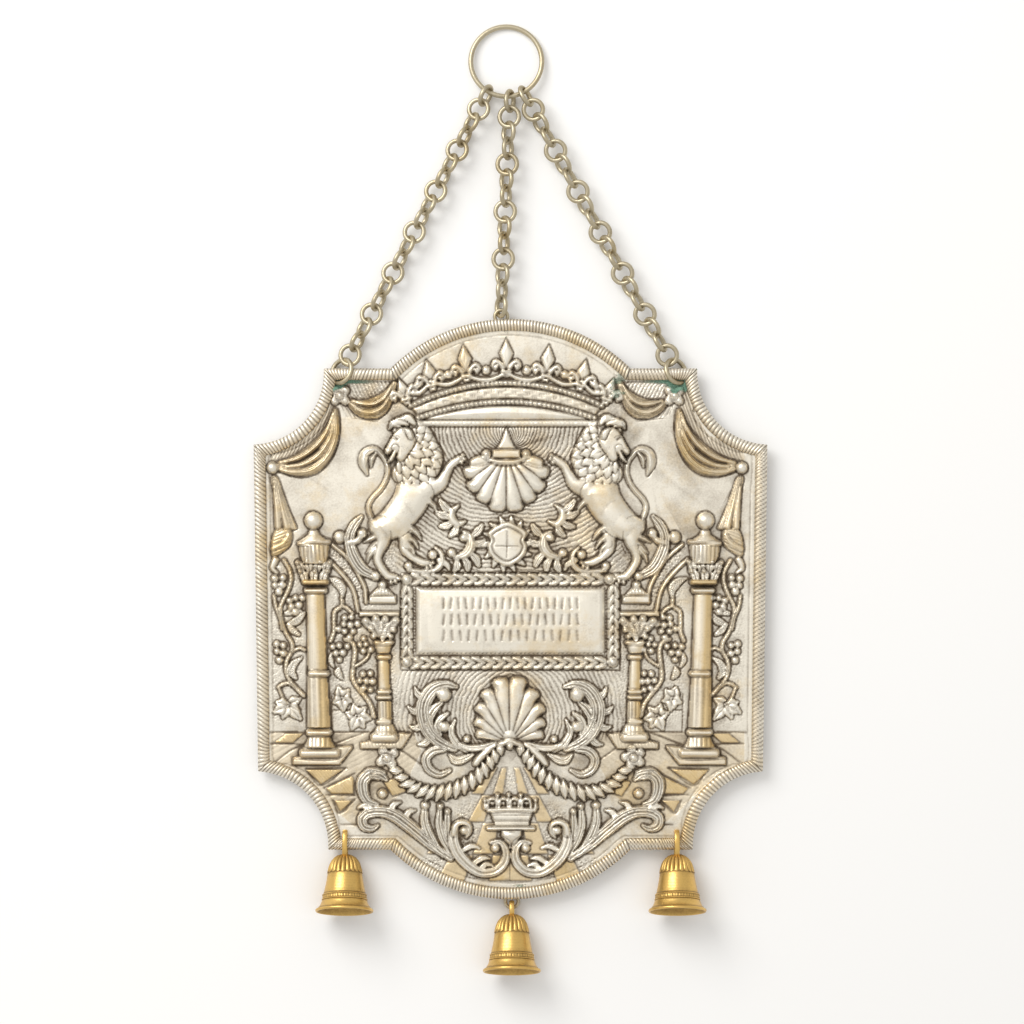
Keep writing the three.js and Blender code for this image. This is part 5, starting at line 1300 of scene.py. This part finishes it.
def border_strip(index, fluting, depth):
    """A length of half-round wire with flutes rolled across it, mitred at both ends"""
    pitch, lean = fluting
    if "left" in STRETCHES[index][0]:
        lean = -lean
    fine = np.concatenate([stretch_points(index, FINE_STEPS),
                           [STRETCHES[(index + 1) % len(STRETCHES)][1]]])
    travelled = np.concatenate([[0], np.cumsum(np.hypot(*np.diff(fine, axis=0).T))])
    length = travelled[-1]
    count = round(length / pitch)
    pitch = length / count
    way = (np.arange(count)[:, None] + np.array(FLUTE_SHARES)).ravel() * pitch
    way = np.append(way, length)
    x = np.interp(way, travelled, fine[:, 0])
    y = np.interp(way, travelled, fine[:, 1])
    tangent = np.stack([np.gradient(x, way), np.gradient(y, way)], axis=1)
    tangent /= np.hypot(*tangent.T)[:, None]
    normal = np.stack([-tangent[:, 1], tangent[:, 0]], axis=1)
    share, rise = np.array(STRIP_SECTION).T
    start, end = corner_turn(index), corner_turn((index + 1) % len(STRETCHES))
    reach = min(MITRE_REACH, length / 2)
    near_start = np.clip(1 - way / reach, 0, 1)[:, None]
    near_end = np.clip(1 - (length - way) / reach, 0, 1)[:, None]
    across = share[None, :] * BORDER_WIDTH
    shift = (near_start * (math.tan(start / 2) * across + GAP / 2)
             - near_end * (math.tan(end / 2) * across + GAP / 2))
    phase = (way[:, None] + lean * share[None, :] * 2) / pitch
    rib = np.sqrt(np.abs(np.sin(np.pi * phase)))
    height = BORDER_HEIGHT * rise[None, :] - depth * (1 - rib) * (rise[None, :] > 0.5)
    places = np.empty((*shift.shape, 3))
    places[..., 0] = x[:, None] + normal[:, :1] * across + tangent[:, :1] * shift
    places[..., 1] = y[:, None] + normal[:, 1:] * across + tangent[:, 1:] * shift
    places[..., 2] = FACE_LEVEL + GAP + height
    ends = []
    for row in (places[0], places[-1]):
        middle = np.broadcast_to(row[:-1].mean(axis=0), row.shape)
        ends.append(middle[None])
    places = np.concatenate([ends[0], places, ends[1]])
    # Tarnish and painted shade in the grooves of the flutes
    recess = np.pad(1.15 * (1 - rib**1.2), ((1, 1), (0, 0)), mode="edge")
    gilt = 0.05 + 0.35 * faded(share, 0.3, 0.7)
    return skinned(places, recess=recess, gilt=gilt)


def wire_ring(radius, wire, centre, turns=((0.0, "X"),), around=40, section=12):
    """A ring of wire at a drawn place, turned about its middle"""
    turned_by = Matrix.Identity(3)
    for angle, axis in turns:
        turned_by = Matrix.Rotation(angle, 3, axis) @ turned_by
    return added(bpy.ops.mesh.primitive_torus_add, major_radius=radius * MM, minor_radius=wire / 2 * MM,
                 major_segments=around, minor_segments=section, location=place(centre),
                 rotation=turned_by.to_euler())


# Chains and their ring; a fuller is what a faceted wire lacks of its round section
RING_CENTRE = (-1.9, 246.8)
RING_RADIUS = 16.2
RING_WIRE = 1.9
RING_FULLER = 0.35
# Levels of the ring's middle line: at its foot, which the first links raise, and at its far end
RING_LOW, RING_HIGH = 4.3, 0.95
LINK_RADIUS = 4.4
LINK_WIRE = 1.8
LINK_FULLER = 0.3
CORNER_RADIUS = 5.7
HOOK_SLACK = 0.25
# Rolls of the links in degrees, in turn
ROLLS = (12, 60, 112)
EYE_RADIUS = 2.9
EYE_WIRE = 1.6
EYE_LEVEL = BACK_LEVEL - GAP - EYE_WIRE / 2
EYE_OUT = EYE_RADIUS - EYE_WIRE
EYES = {"eye_top": (-4.2, CREST + EYE_OUT), "eye_bottom": (0.6, -CREST - EYE_OUT)}
LAST_OVER_EYE = 1.5
# Where each chain leaves the ring in degrees from its lowest point, where it ends on the
# sheet, and the roll of its last link
CHAINS = {
    "chain_left": (-31, (-79, 102.1), 42),
    "chain_middle": (6, EYES["eye_top"], 64),
    "chain_right": (29, (77.5, 102.1), 138),
}


def chain_links(leave, end, last_roll, outer):
    """Centre, radius, roll and heading of each link of a chain"""
    turn = math.radians(leave)
    grip = LINK_RADIUS - LINK_WIRE / 2 - RING_WIRE / 2 - GAP - HOOK_SLACK
    start = np.array(RING_CENTRE) + RING_RADIUS * np.array([math.sin(turn), -math.cos(turn)])
    last_radius = CORNER_RADIUS if outer else LINK_RADIUS
    if outer:
        foot = np.array([RING_CENTRE[0], RING_CENTRE[1] - RING_RADIUS])
        way = foot - np.array(end)
        finish = np.array(end) + way / math.hypot(*way) * CORNER_RADIUS
    else:
        finish = np.array([end[0], end[1] + EYE_RADIUS + LAST_OVER_EYE])
    way = finish - start
    ahead = way / math.hypot(*way)
    start = start + ahead * grip
    length = math.hypot(*(finish - start))
    inward = LINK_WIRE / 2
    extra = last_radius - LINK_RADIUS
    steps = round((length - extra) / (2 * (LINK_RADIUS - inward)))
    step = (length - extra) / steps
    heading = math.atan2(ahead[1], ahead[0])
    links = [(start + ahead * i * step, step / 2 + inward, ROLLS[(i + 2) % 3], heading)
             for i in range(steps)]
    links.append((finish, step / 2 + inward + extra, last_roll, heading))
    return links


def chain(name):
    """Links that hook into each other, from the ring to the sheet"""
    leave, end, last_roll = CHAINS[name]
    pieces = []
    for centre, radius, roll, heading in chain_links(leave, end, last_roll, name != "chain_middle"):
        pieces.append(wire_ring(radius, LINK_WIRE + LINK_FULLER, (*centre, CHAIN_LEVEL),
                                ((math.radians(roll), "X"), (heading, "Z")), around=32, section=10))
    return applied(joined(pieces))


# Bells, hangers and clappers
BELL_HEIGHT = 26.0
BELL_LIP = 13.0
BELL_LOBES = 21
BELL_KNURLS = 24
# A lying bell rests on its lip and on the eave of its crown: the eave's radius and height
BELL_EAVE = (8.1, 17.94)
BELL_LEAN = math.atan((BELL_LIP - BELL_EAVE[0]) / BELL_EAVE[1])
LOOP_INTO_CROWN = 2.2
LOOP_STEPS = 48
EDGE_STEPS = 16
# Middle of each loop, and half its length and height
LOOPS = {
    "left": ((-74.4, -106.25, 6.65), 6.35, 3.3),
    "middle": ((0.6, -135.675, 4.75), 3.825, 3.4),
    "right": ((74.8, -106.25, 6.65), 6.35, 3.3),
}
# Turned sections as rows of (radius, height over the mouth, tarnish and painted shade)
BELL_ROWS = [
    (12.3, 0, 0), (12.75, 0, 0), (13, 0.35, 0), (13, 0.85, 0), (12.7, 1.25, 0), (12.25, 1.4, 0.8),
    (11.9, 1.7, 0.4), (11.3, 2.4, 0), (10.75, 3.3, 0), (10.4, 4.2, 0), (10.2, 4.9, 0.2),
    (9.95, 5.15, 0.9), (10.25, 5.3, 0), (10.3, 5.6, 0), (10.05, 5.85, 0.9), (9.95, 6, 0.3),
    (10, 6.5, 0), (9.9, 7.1, 0.3), (9.85, 7.3, 0.9), (10.05, 7.5, 0), (9.95, 7.8, 0), (9.55, 8, 0.9),
    (9.35, 8.6, 0.2), (8.95, 10.4, 0), (8.5, 12.6, 0), (8.15, 14.6, 0), (7.85, 16.6, 0.2),
    (7.75, 17.6, 0.9), (8.05, 17.8, 0.3), (7.95, 18.2, 0), (7.75, 19, 0), (7.4, 20.2, 0),
    (6.95, 21.6, 0), (6.2, 23, 0), (5.2, 24.2, 0), (4, 25.1, 0.1), (2.6, 25.7, 0.25),
    (1.2, 25.95, 0.2), (0, 26, 0.2),
    # The inside of the bell, darkened all over with painted shade
    (0, 25, 0.6), (4, 24.2, 0.6), (6.2, 22, 0.6), (6.8, 18, 0.6), (7.4, 12, 0.6), (8.4, 7, 0.6),
    (9.5, 4.2, 0.6), (11.2, 1.6, 0.5), (12.0, 0.4, 0.3), (12.3, 0, 0),
]
BELL_OUTSIDE = BELL_ROWS.index((0, 26, 0.2)) + 1
CLAPPER_ROWS = [
    (0, 1.7, 0), (1.4, 2.1, 0), (2.4, 3.1, 0), (2.8, 4.5, 0), (2.4, 5.9, 0.2), (1.4, 6.9, 0.6),
    (0.75, 7.3, 0.8), (0.7, 12, 0.2), (0.7, 19.6, 0.4), (1.3, 20.2, 0.3), (1.3, 21, 0.3), (0, 21.5, 0.3),
]


def laid(points, loop):
    """Places on a lying bell from places about its upright axis; the mouth is at zero"""
    (x, y, _), long, _ = LOOPS[loop]
    crown = y - long + LOOP_INTO_CROWN
    up, out = points[..., 1], points[..., 2]
    lean = -BELL_LEAN
    places = np.empty(points.shape)
    places[..., 0] = points[..., 0] + x
    places[..., 1] = up * math.cos(lean) - out * math.sin(lean) + crown - BELL_HEIGHT * math.cos(lean)
    places[..., 2] = up * math.sin(lean) + out * math.cos(lean) + BELL_LIP * math.cos(lean)
    return places


def lathed(rows, around):
    """Turns a section: the angles around it, and each row's radius, height and tarnish with painted shade
    there
    """
    turn = np.linspace(0, 2 * math.pi, around + 1)
    radius, up, recess = np.array(rows, dtype=float).T
    return turn, radius[:, None] + 0 * turn, up[:, None] + 0 * turn, recess[:, None] + 0 * turn


def bell(loop, lobe_depth):
    """A hollow bell: lobes on its crown, which end as an eave, and a knurled band over its lip"""
    turn, radius, up, recess = lathed(BELL_ROWS, BELL_LOBES * 8)
    outside = np.arange(len(BELL_ROWS))[:, None] < BELL_OUTSIDE
    lobe = np.abs(np.sin(BELL_LOBES / 2 * turn))[None, :]
    crown = outside * faded(up, 17.6, 18) * (1 - faded(up, 24.6, 25.9))
    radius = radius - crown * lobe_depth * (1 - lobe**0.7)
    # Tarnish and painted shade in the grooves between the lobes
    recess = recess + crown * 0.8 * (1 - lobe) ** 2
    eave = outside * (faded(up, 17.6, 17.8) - faded(up, 18.2, 19.2))
    up = up - eave * 0.75 * (lobe - 0.35)
    knurl = outside * faded(up, 5.9, 6.1) * (1 - faded(up, 7, 7.2))
    bead = np.abs(np.sin(BELL_KNURLS * turn))[None, :]
    radius = radius - knurl * 0.35 * (1 - bead**0.6)
    # Tarnish and painted shade between the knurls
    recess = recess + knurl * 0.8 * (1 - bead) ** 1.5
    body = outside * faded(up, 8.1, 8.7) * (1 - faded(up, 16.4, 17))
    points = np.stack([radius * np.cos(turn), up, radius * np.sin(turn)], axis=2)
    phase = up / 1.3 + 0 * turn
    return skinned(laid(points, loop), recess=recess, gilt=np.ones(recess.shape), phase=phase,
                   lines=0.05 * body + 0 * recess)


def clapper(loop):
    """A clapper with its stem, forged as one"""
    turn, radius, up, recess = lathed(CLAPPER_ROWS, 32)
    points = np.stack([radius * np.cos(turn), up, radius * np.sin(turn)], axis=2)
    return skinned(laid(points, loop), recess=recess)


def hanger(loop, width, thick):
    """A loop of flat gilt strip that carries a bell"""
    (x, y, z), long, high = LOOPS[loop]
    turn = np.linspace(0, 2 * math.pi, LOOP_STEPS + 1)
    round_ = np.linspace(0, 2 * math.pi, EDGE_STEPS + 1)
    out = np.stack([np.cos(turn) / long, np.sin(turn) / high], axis=1)
    out /= np.hypot(*out.T)[:, None]
    cross = np.sign(np.cos(round_)) * np.abs(np.cos(round_)) ** 0.6 * thick / 2
    side = np.sign(np.sin(round_)) * np.abs(np.sin(round_)) ** 0.6 * width / 2
    places = np.empty((len(turn), len(round_), 3))
    places[..., 0] = x + side[None, :]
    places[..., 1] = (y + long * np.cos(turn))[:, None] + out[:, :1] * cross
    places[..., 2] = (z + high * np.sin(turn))[:, None] + out[:, 1:] * cross
    return skinned(places, gilt=np.ones(places.shape[:2]))


# Finishes: sizes in mm of the blotches, the warm worn patches, and the fine scratches, which
# are drawn coarser than real ones so that they show
BLOTCH = 9
WORN_PATCH = 24
SPECK = 0.9
# The tracer's swirled lines, at this pitch and so many to a turn about a shell's hinge, and
# the dots of the matting punch
SWIRL_PITCH = 2.0
SWIRLS = 30
PUNCH = 1.1
# Heights on the sheet: of the panel's middle, and of the hinges of the shells over and under it
PANEL_LEVEL = float(place((0, -6, 0))[1])
UPPER_HINGE = float(place((0, 74, 0))[1])
LOWER_HINGE = float(place((0, -58, 0))[1])


def colour(code):
    """An sRGB hex code as a linear colour"""
    parts = [int(code[i:i + 2], 16) / 255 for i in (1, 3, 5)]
    return (*[c / 12.92 if c <= 0.04045 else ((c + 0.055) / 1.055) ** 2.4 for c in parts], 1.0)


def node(tree, kind, *values, take=0, **settings):
    """Adds a node and gives the output taken, or the node itself if take is None.

    A kind may be followed by its operation. Values, or outputs of other nodes, go to the
    inputs in order or, in a dictionary, by name or number.
    """
    kind, _, operation = kind.partition(" ")
    made = tree.nodes.new("ShaderNode" + kind)
    if operation:
        made.operation = operation
    for name, value in settings.items():
        setattr(made, name, value)
    inputs = values[0] if values and isinstance(values[0], dict) else dict(enumerate(values))
    for socket, value in inputs.items():
        if isinstance(value, bpy.types.NodeSocket):
            tree.links.new(value, made.inputs[socket])
        else:
            made.inputs[socket].default_value = value
    return made if take is None else made.outputs[take]


def worn_metal(name, bright, warm, patina_and_shade, roughness, tarnish, worked=False):
    """Metal with chased lines, tarnish and painted shade in its hollows, soft blotches and fine scratches.

    The marks on a piece steer it: the tarnish and painted shade of its hollows, gilt, phase and lines,
    crust, swirl and matt.
    """
    material = bpy.data.materials.new(name)
    material.use_nodes = True
    tree = material.node_tree
    tree.nodes.clear()
    add = partial(node, tree)
    place_in = add("TexCoord", take="Object")
    blotch, speck, broad = (
        add("TexNoise", {"Vector": place_in, "Scale": 1 / (size * MM), "Detail": detail,
                         "Roughness": grain}, take="Fac")
        for size, detail, grain in ((BLOTCH, 5, 0.6), (SPECK, 3, 0.65), (WORN_PATCH, 6, 0.68)))
    # Chased lines: how deep each place is cut, and the tarnish and painted shade kept in the cuts and
    # hollows
    recess, gilt, phase, lines, crust = (add("Attribute", attribute_name=mark_name, take="Fac")
                                         for mark_name in ("recess", "gilt", "phase", "lines", "crust"))
    turn = add("Math MULTIPLY", phase, 2 * math.pi)
    cut = add("Math SUBTRACT", 0.5, add("Math MULTIPLY", add("Math COSINE", turn), 0.5))
    cut = add("Math MULTIPLY", add("Math POWER", cut, 1.5), lines)
    hollow_tarnish_and_shade = add("Math ADD", recess, add("Math MULTIPLY", cut, 0.7))
    if worked:
        # Ground between the reliefs: lines swirled about the shells, and a matting punch
        swirled, matted = (add("Attribute", attribute_name=mark_name, take="Fac")
                           for mark_name in ("swirl", "matt"))
        across, along, _ = add("SeparateXYZ", place_in, take=None).outputs
        upper = add("Math GREATER_THAN", along, PANEL_LEVEL)
        hinge = add("Math ADD", LOWER_HINGE, add("Math MULTIPLY", upper, UPPER_HINGE - LOWER_HINGE))
        side = add("Math ABSOLUTE", across)
        rise = add("Math SUBTRACT", along, hinge)
        reach = add("Math SQRT", add("Math ADD", add("Math MULTIPLY", side, side),
                                     add("Math MULTIPLY", rise, rise)))
        swirl = add("Math ADD", add("Math MULTIPLY", reach, 1 / (SWIRL_PITCH * MM)),
                    add("Math MULTIPLY", add("Math ARCTAN2", side, rise), SWIRLS / (2 * math.pi)))
        swirl = add("Math ADD", swirl, add("Math MULTIPLY", blotch, 2.2))
        traced = add("Math SINE", add("Math MULTIPLY", swirl, 2 * math.pi))
        traced = add("Math POWER", add("Math ADD", 0.5, add("Math MULTIPLY", traced, 0.5)), 1.6)
        traced = add("Math MULTIPLY", traced, add("Math ADD", 0.35, speck))
        traced = add("Math MULTIPLY", traced, swirled)
        punch = add("TexVoronoi", {"Vector": place_in, "Scale": 1 / (PUNCH * MM)}, take="Distance")
        punch = add("Math SUBTRACT", 1.05, add("Math MULTIPLY", punch, 1.5), use_clamp=True)
        punch = add("Math MULTIPLY", punch, matted)
        dots = add("Math MULTIPLY", punch, 0.6)
        cut = add("Math ADD", cut, add("Math ADD", add("Math MULTIPLY", traced, 0.5), dots))
        shade = add("Math ADD", add("Math MULTIPLY", traced, 0.55), dots)
        shade = add("Math ADD", shade, add("Math MULTIPLY", swirled, 0.02))
        hollow_tarnish_and_shade = add("Math ADD", hollow_tarnish_and_shade, shade)
    # Tarnish with the painted shade of the hollows, green crust, and the gilding with its worn warm patches
    uneven = add("Math MULTIPLY", add("Math SUBTRACT", blotch, 0.5), 0.9 * tarnish)
    mottle = add("Math MULTIPLY", add("Math SUBTRACT", speck, 0.5), 0.7 * tarnish)
    dulled_and_shaded = add("Math ADD", add("Math ADD", hollow_tarnish_and_shade, uneven), mottle, use_clamp=True)
    crust = add("Math MULTIPLY", crust, add("Math ADD", 0.35, speck), use_clamp=True)
    crust = add("Math MULTIPLY", add("Math SUBTRACT", crust, 0.25), 2.6, use_clamp=True)
    worn = add("Math MULTIPLY", add("Math SUBTRACT", broad, 0.5), 4.5, use_clamp=True)
    worn = add("Math MULTIPLY", worn, 0.75)
    gilding = add("Math ADD", gilt, worn, use_clamp=True)
    metal = add("Mix", {0: gilding, 6: colour(bright), 7: colour(warm)}, data_type="RGBA", take=2)
    # The metal darkens towards the tarnish colour by the tarnish and painted shade
    metal = add("Mix", {0: dulled_and_shaded, 6: metal, 7: colour(patina_and_shade)}, data_type="RGBA", take=2)
    green = add("Mix", {0: speck, 6: colour("#3E6B5E"), 7: colour("#9CC4A8")}, data_type="RGBA", take=2)
    base = add("Mix", {0: crust, 6: metal, 7: green}, data_type="RGBA", take=2)
    # Roughness, and the fine heights of the cuts, scratches and crust
    rough = add("Math ADD", add("Math MULTIPLY", dulled_and_shaded, 0.3), roughness - 0.06)
    rough = add("Math ADD", rough, add("Math MULTIPLY", speck, 0.12))
    rough = add("Math MAXIMUM", rough, add("Math MULTIPLY", crust, 0.85))
    height = add("Math MULTIPLY", cut, -0.5)
    height = add("Math ADD", height, add("Math MULTIPLY", speck, 0.05))
    height = add("Math ADD", height, add("Math MULTIPLY", crust, add("Math ADD", speck, 0.2)))
    relief = add("Bump", {"Height": height, "Distance": MM, "Strength": 1.0})
    # Tarnish, with its painted shade, and crust aren't metal
    solid = add("Math SUBTRACT", 1.0, add("Math MULTIPLY", dulled_and_shaded, 0.45))
    solid = add("Math MULTIPLY", solid, add("Math SUBTRACT", 1.0, crust))
    shader = add("BsdfPrincipled", {"Base Color": base, "Metallic": solid, "Roughness": rough,
                                    "Normal": relief})
    add("OutputMaterial", {"Surface": shader}, take=None).is_active_output = True
    return material


def finish(name):
    """A finish of the shield, made once"""
    if name in bpy.data.materials:
        return bpy.data.materials[name]
    look = bpy.context.scene.shield_finish
    if name == "Chased silver":
        # Embossed and polished by hand: bright heights, brown tarnish and painted shade left in each chased
        # line and hollow
        return worn_metal(name, hexed(look.silver), hexed(look.pale_gilt), hexed(look.tarnish),
                          look.polish, 0.9, worked=True)
    if name == "Parcel-gilt silver":
        # Rolled half-round wire, fire-gilt on its inner slope and rubbed back on the outer one
        return worn_metal(name, hexed(look.silver), hexed(look.pale_gilt), hexed(look.tarnish),
                          look.polish, 0.7)
    if name == "Plated wire":
        # Drawn brass wire, silvered and worn: warm where fingers rubbed it
        return worn_metal(name, "#BDB298", "#A8946A", "#40331F", look.polish, 1.1)
    if name == "Fire-gilt brass":
        # Turned and gilt with a soft glow, brown tarnish and painted shade in the tool's grooves
        return worn_metal(name, "#E8CC84", hexed(look.gilt), "#6A4A22", look.polish - 0.06, 0.8)
    # Forged and never polished: dark, with a dry brown bloom
    return worn_metal("Forged iron", "#6A6058", "#7A6248", "#2C2019", 0.5, 1.2)


def hexed(shade):
    """A picked colour's sRGB hex code"""
    codes = []
    for part in shade:
        value = 12.92 * part if part <= 0.0031308 else 1.055 * part ** (1 / 2.4) - 0.055
        codes.append(f"{round(255 * max(0, min(1, value))):02X}")
    return "#" + "".join(codes)


# What a user may change


class ShieldFinish(bpy.types.PropertyGroup):
    """Colours and roughness of the metals"""

    silver: FloatVectorProperty(name="Silver", description="Polished silver of the sheet",
                                subtype="COLOR", size=3, min=0, max=1,
                                default=colour("#F1EADB")[:3])
    pale_gilt: FloatVectorProperty(name="Pale gilding", description="Worn gilding on the sheet",
                                   subtype="COLOR", size=3, min=0, max=1,
                                   default=colour("#E0C695")[:3])
    # The tarnish colour also paints the shade in hollows and grooves
    tarnish: FloatVectorProperty(name="Tarnish", description="Tarnish left in the chased lines",
                                 subtype="COLOR", size=3, min=0, max=1,
                                 default=colour("#6A5B49")[:3])
    gilt: FloatVectorProperty(name="Gilding", description="Gilding of the bells and their loops",
                              subtype="COLOR", size=3, min=0, max=1, default=colour("#DCB66B")[:3])
    polish: FloatProperty(name="Roughness", description="Roughness of the polished metal",
                          subtype="FACTOR", min=0.05, max=0.8, default=0.4)


class ShieldSizes(bpy.types.PropertyGroup):
    """Fineness of the sheet, and sizes of the fine work"""

    pitch: FloatProperty(name="Chasing pitch", description="Distance of the worked points of the sheet",
                         unit="LENGTH", min=0.2 * MM, max=2 * MM, default=0.45 * MM)
    triangles: IntProperty(name="Triangles", description="Most triangles the sheet may have",
                           min=20000, max=199000, default=194000)
    flute_depth: FloatProperty(name="Flute depth", description="Depth of the flutes on the border",
                               unit="LENGTH", min=0, max=1 * MM, default=0.6 * MM)
    lobe_depth: FloatProperty(name="Lobe depth", description="Depth of the grooves on a bell's crown",
                              unit="LENGTH", min=0, max=1.5 * MM, default=0.8 * MM)
    strip_width: FloatProperty(name="Loop width", description="Width of the strip that carries a bell",
                               unit="LENGTH", min=1 * MM, max=4 * MM, default=2.3 * MM)
    strip_thickness: FloatProperty(name="Loop thickness", description="Thickness of that strip",
                                   unit="LENGTH", min=0.5 * MM, max=2 * MM, default=1.3 * MM)


class ShieldStage(bpy.types.PropertyGroup):
    """Camera and light"""

    camera_height: FloatProperty(name="Camera height", description="Height of the camera over the floor",
                                 unit="LENGTH", min=0.5, max=5, default=1.4)
    frame_width: FloatProperty(name="View width", description="Width of the view at the sheet",
                               unit="LENGTH", min=0.2, max=2, default=0.4608)
    light: FloatProperty(name="Key light", description="Power of the main softbox, in watts",
                         min=0, max=500, default=14)


FLOOR_SIZE = 8
SENSOR = 36
VIEW_MIDDLE = (0.675, 43.65, FACE_LEVEL)
# Name, place in metres, size in metres and share of the light's power of each softbox
SOFTBOXES = (("key", (-0.75, 0.8, 1.0), 0.9, 1.0), ("over", (0.0, 0.15, 1.9), 2.2, 0.2))


class SHIELD_OT_sheet(bpy.types.Operator):
    """Embosses and chases the silver sheet"""

    bl_idname = "shield.sheet"
    bl_label = "Embossed sheet"

    def execute(self, context):
        sizes = context.scene.shield_sizes
        pitch = sizes.pitch / MM * 1
        piece = relief_sheet(pitch, sizes.triangles)
        named(piece, "embossed_sheet", ["plate"], finish("Chased silver"),
              angle=70)
        flattened_shading(piece)
        return {"FINISHED"}


class SHIELD_OT_border(bpy.types.Operator):
    """Bends and mitres the fluted strips of the border"""

    bl_idname = "shield.border"
    bl_label = "Fluted border"

    def execute(self, context):
        depth = context.scene.shield_sizes.flute_depth / MM
        for index, (name, _, _) in enumerate(STRETCHES):
            piece = border_strip(index, FLUTES[name.split("_")[0]], depth)
            named(piece, f"fluted_{name}", [f"border_{name}"],
                  finish("Parcel-gilt silver"), angle=60)
        return {"FINISHED"}


class SHIELD_OT_chains(bpy.types.Operator):
    """Links the chains and hangs them on their ring"""

    bl_idname = "shield.chains"
    bl_label = "Ring, chains and eyes"

    def execute(self, context):
        wire = finish("Plated wire")
        tilt = math.asin((RING_LOW - RING_HIGH) / (2 * RING_RADIUS))
        ring = wire_ring(RING_RADIUS - RING_FULLER / 2, RING_WIRE + RING_FULLER,
                         (*RING_CENTRE, (RING_LOW + RING_HIGH) / 2), ((-tilt, "X"),), around=96,
                         section=16)
        named(applied(ring), "wire_ring", ["hanging_ring"], wire)
        for name in CHAINS:
            named(chain(name), f"links_{name}", [name], wire)
        for name, centre in EYES.items():
            eye = wire_ring(EYE_RADIUS, EYE_WIRE, (*centre, EYE_LEVEL))
            named(applied(eye), f"wire_{name}", [name], wire)
        return {"FINISHED"}


class SHIELD_OT_bells(bpy.types.Operator):
    """Turns the bells with their clappers and bends the loops that carry them"""

    bl_idname = "shield.bells"
    bl_label = "Bells"

    def execute(self, context):
        sizes = context.scene.shield_sizes
        for loop in LOOPS:
            named(bell(loop, sizes.lobe_depth / MM), f"turned_bell_{loop}", [f"bell_{loop}"],
                  finish("Fire-gilt brass"))
            named(clapper(loop), f"forged_clapper_{loop}", [f"clapper_{loop}"],
                  finish("Forged iron"))
            named(hanger(loop, sizes.strip_width / MM, sizes.strip_thickness / MM),
                  f"strip_loop_{loop}", [f"hanger_{loop}"], finish("Fire-gilt brass"))
        return {"FINISHED"}


class SHIELD_OT_stage(bpy.types.Operator):
    """Lays the floor and sets the lights and the camera"""

    bl_idname = "shield.stage"
    bl_label = "Floor, light and camera"

    def execute(self, context):
        stage = context.scene.shield_stage
        floor = added(bpy.ops.mesh.primitive_plane_add, size=FLOOR_SIZE)
        floor.name = "floor"
        paper = bpy.data.materials.new("Matt paper")
        paper.use_nodes = True
        surface = paper.node_tree.nodes["Principled BSDF"]
        surface.inputs["Base Color"].default_value = colour("#F2F1EF")
        surface.inputs["Roughness"].default_value = 0.9
        surface.inputs["Specular IOR Level"].default_value = 0.1
        floor.data.materials.append(paper)
        aim = Vector(place(VIEW_MIDDLE))
        far = stage.camera_height - aim.z
        camera = added(bpy.ops.object.camera_add, location=(aim.x, aim.y, stage.camera_height),
                       rotation=(0, 0, 0))
        camera.data.sensor_width = SENSOR
        camera.data.lens = SENSOR * far / stage.frame_width
        camera.data.clip_end = 50
        context.scene.camera = camera
        for name, spot, size, share in SOFTBOXES:
            lamp = added(bpy.ops.object.light_add, type="AREA", location=spot)
            lamp.name = name
            lamp.data.shape = "SQUARE"
            lamp.data.size = size
            lamp.data.energy = stage.light * share
            lamp.rotation_euler = (aim - Vector(spot)).to_track_quat("-Z", "Y").to_euler()
        world = context.scene.world or bpy.data.worlds.new("World")
        context.scene.world = world
        world.use_nodes = True
        sky = world.node_tree.nodes["Background"]
        sky.inputs["Color"].default_value = colour("#F4F3F1")
        sky.inputs["Strength"].default_value = 0.83
        context.scene.view_settings.view_transform = "Standard"
        return {"FINISHED"}


class SHIELD_PT_panel(bpy.types.Panel):
    """Steps that make the shield, and what may be changed"""

    bl_idname = "SHIELD_PT_panel"
    bl_label = "Chased silver shield"
    bl_space_type = "VIEW_3D"
    bl_region_type = "UI"
    bl_category = "Shield"

    def draw(self, context):
        for operator in OPERATORS:
            self.layout.operator(operator.bl_idname)
        for group in (context.scene.shield_sizes, context.scene.shield_finish,
                      context.scene.shield_stage):
            for name in group.__annotations__:
                self.layout.prop(group, name)


OPERATORS = (SHIELD_OT_sheet, SHIELD_OT_border, SHIELD_OT_chains, SHIELD_OT_bells, SHIELD_OT_stage)
GROUPS = {"shield_finish": ShieldFinish, "shield_sizes": ShieldSizes, "shield_stage": ShieldStage}


def register():
    for kind in (*GROUPS.values(), *OPERATORS, SHIELD_PT_panel):
        bpy.utils.register_class(kind)
    for name, kind in GROUPS.items():
        setattr(bpy.types.Scene, name, PointerProperty(type=kind))


def unregister():
    for name in GROUPS:
        delattr(bpy.types.Scene, name)
    for kind in reversed((*GROUPS.values(), *OPERATORS, SHIELD_PT_panel)):
        bpy.utils.unregister_class(kind)


def main():
    register()
    bpy.ops.shield.sheet()
    bpy.ops.shield.border()
    bpy.ops.shield.chains()
    bpy.ops.shield.bells()
    bpy.ops.shield.stage()


if __name__ == "__main__":
    main()
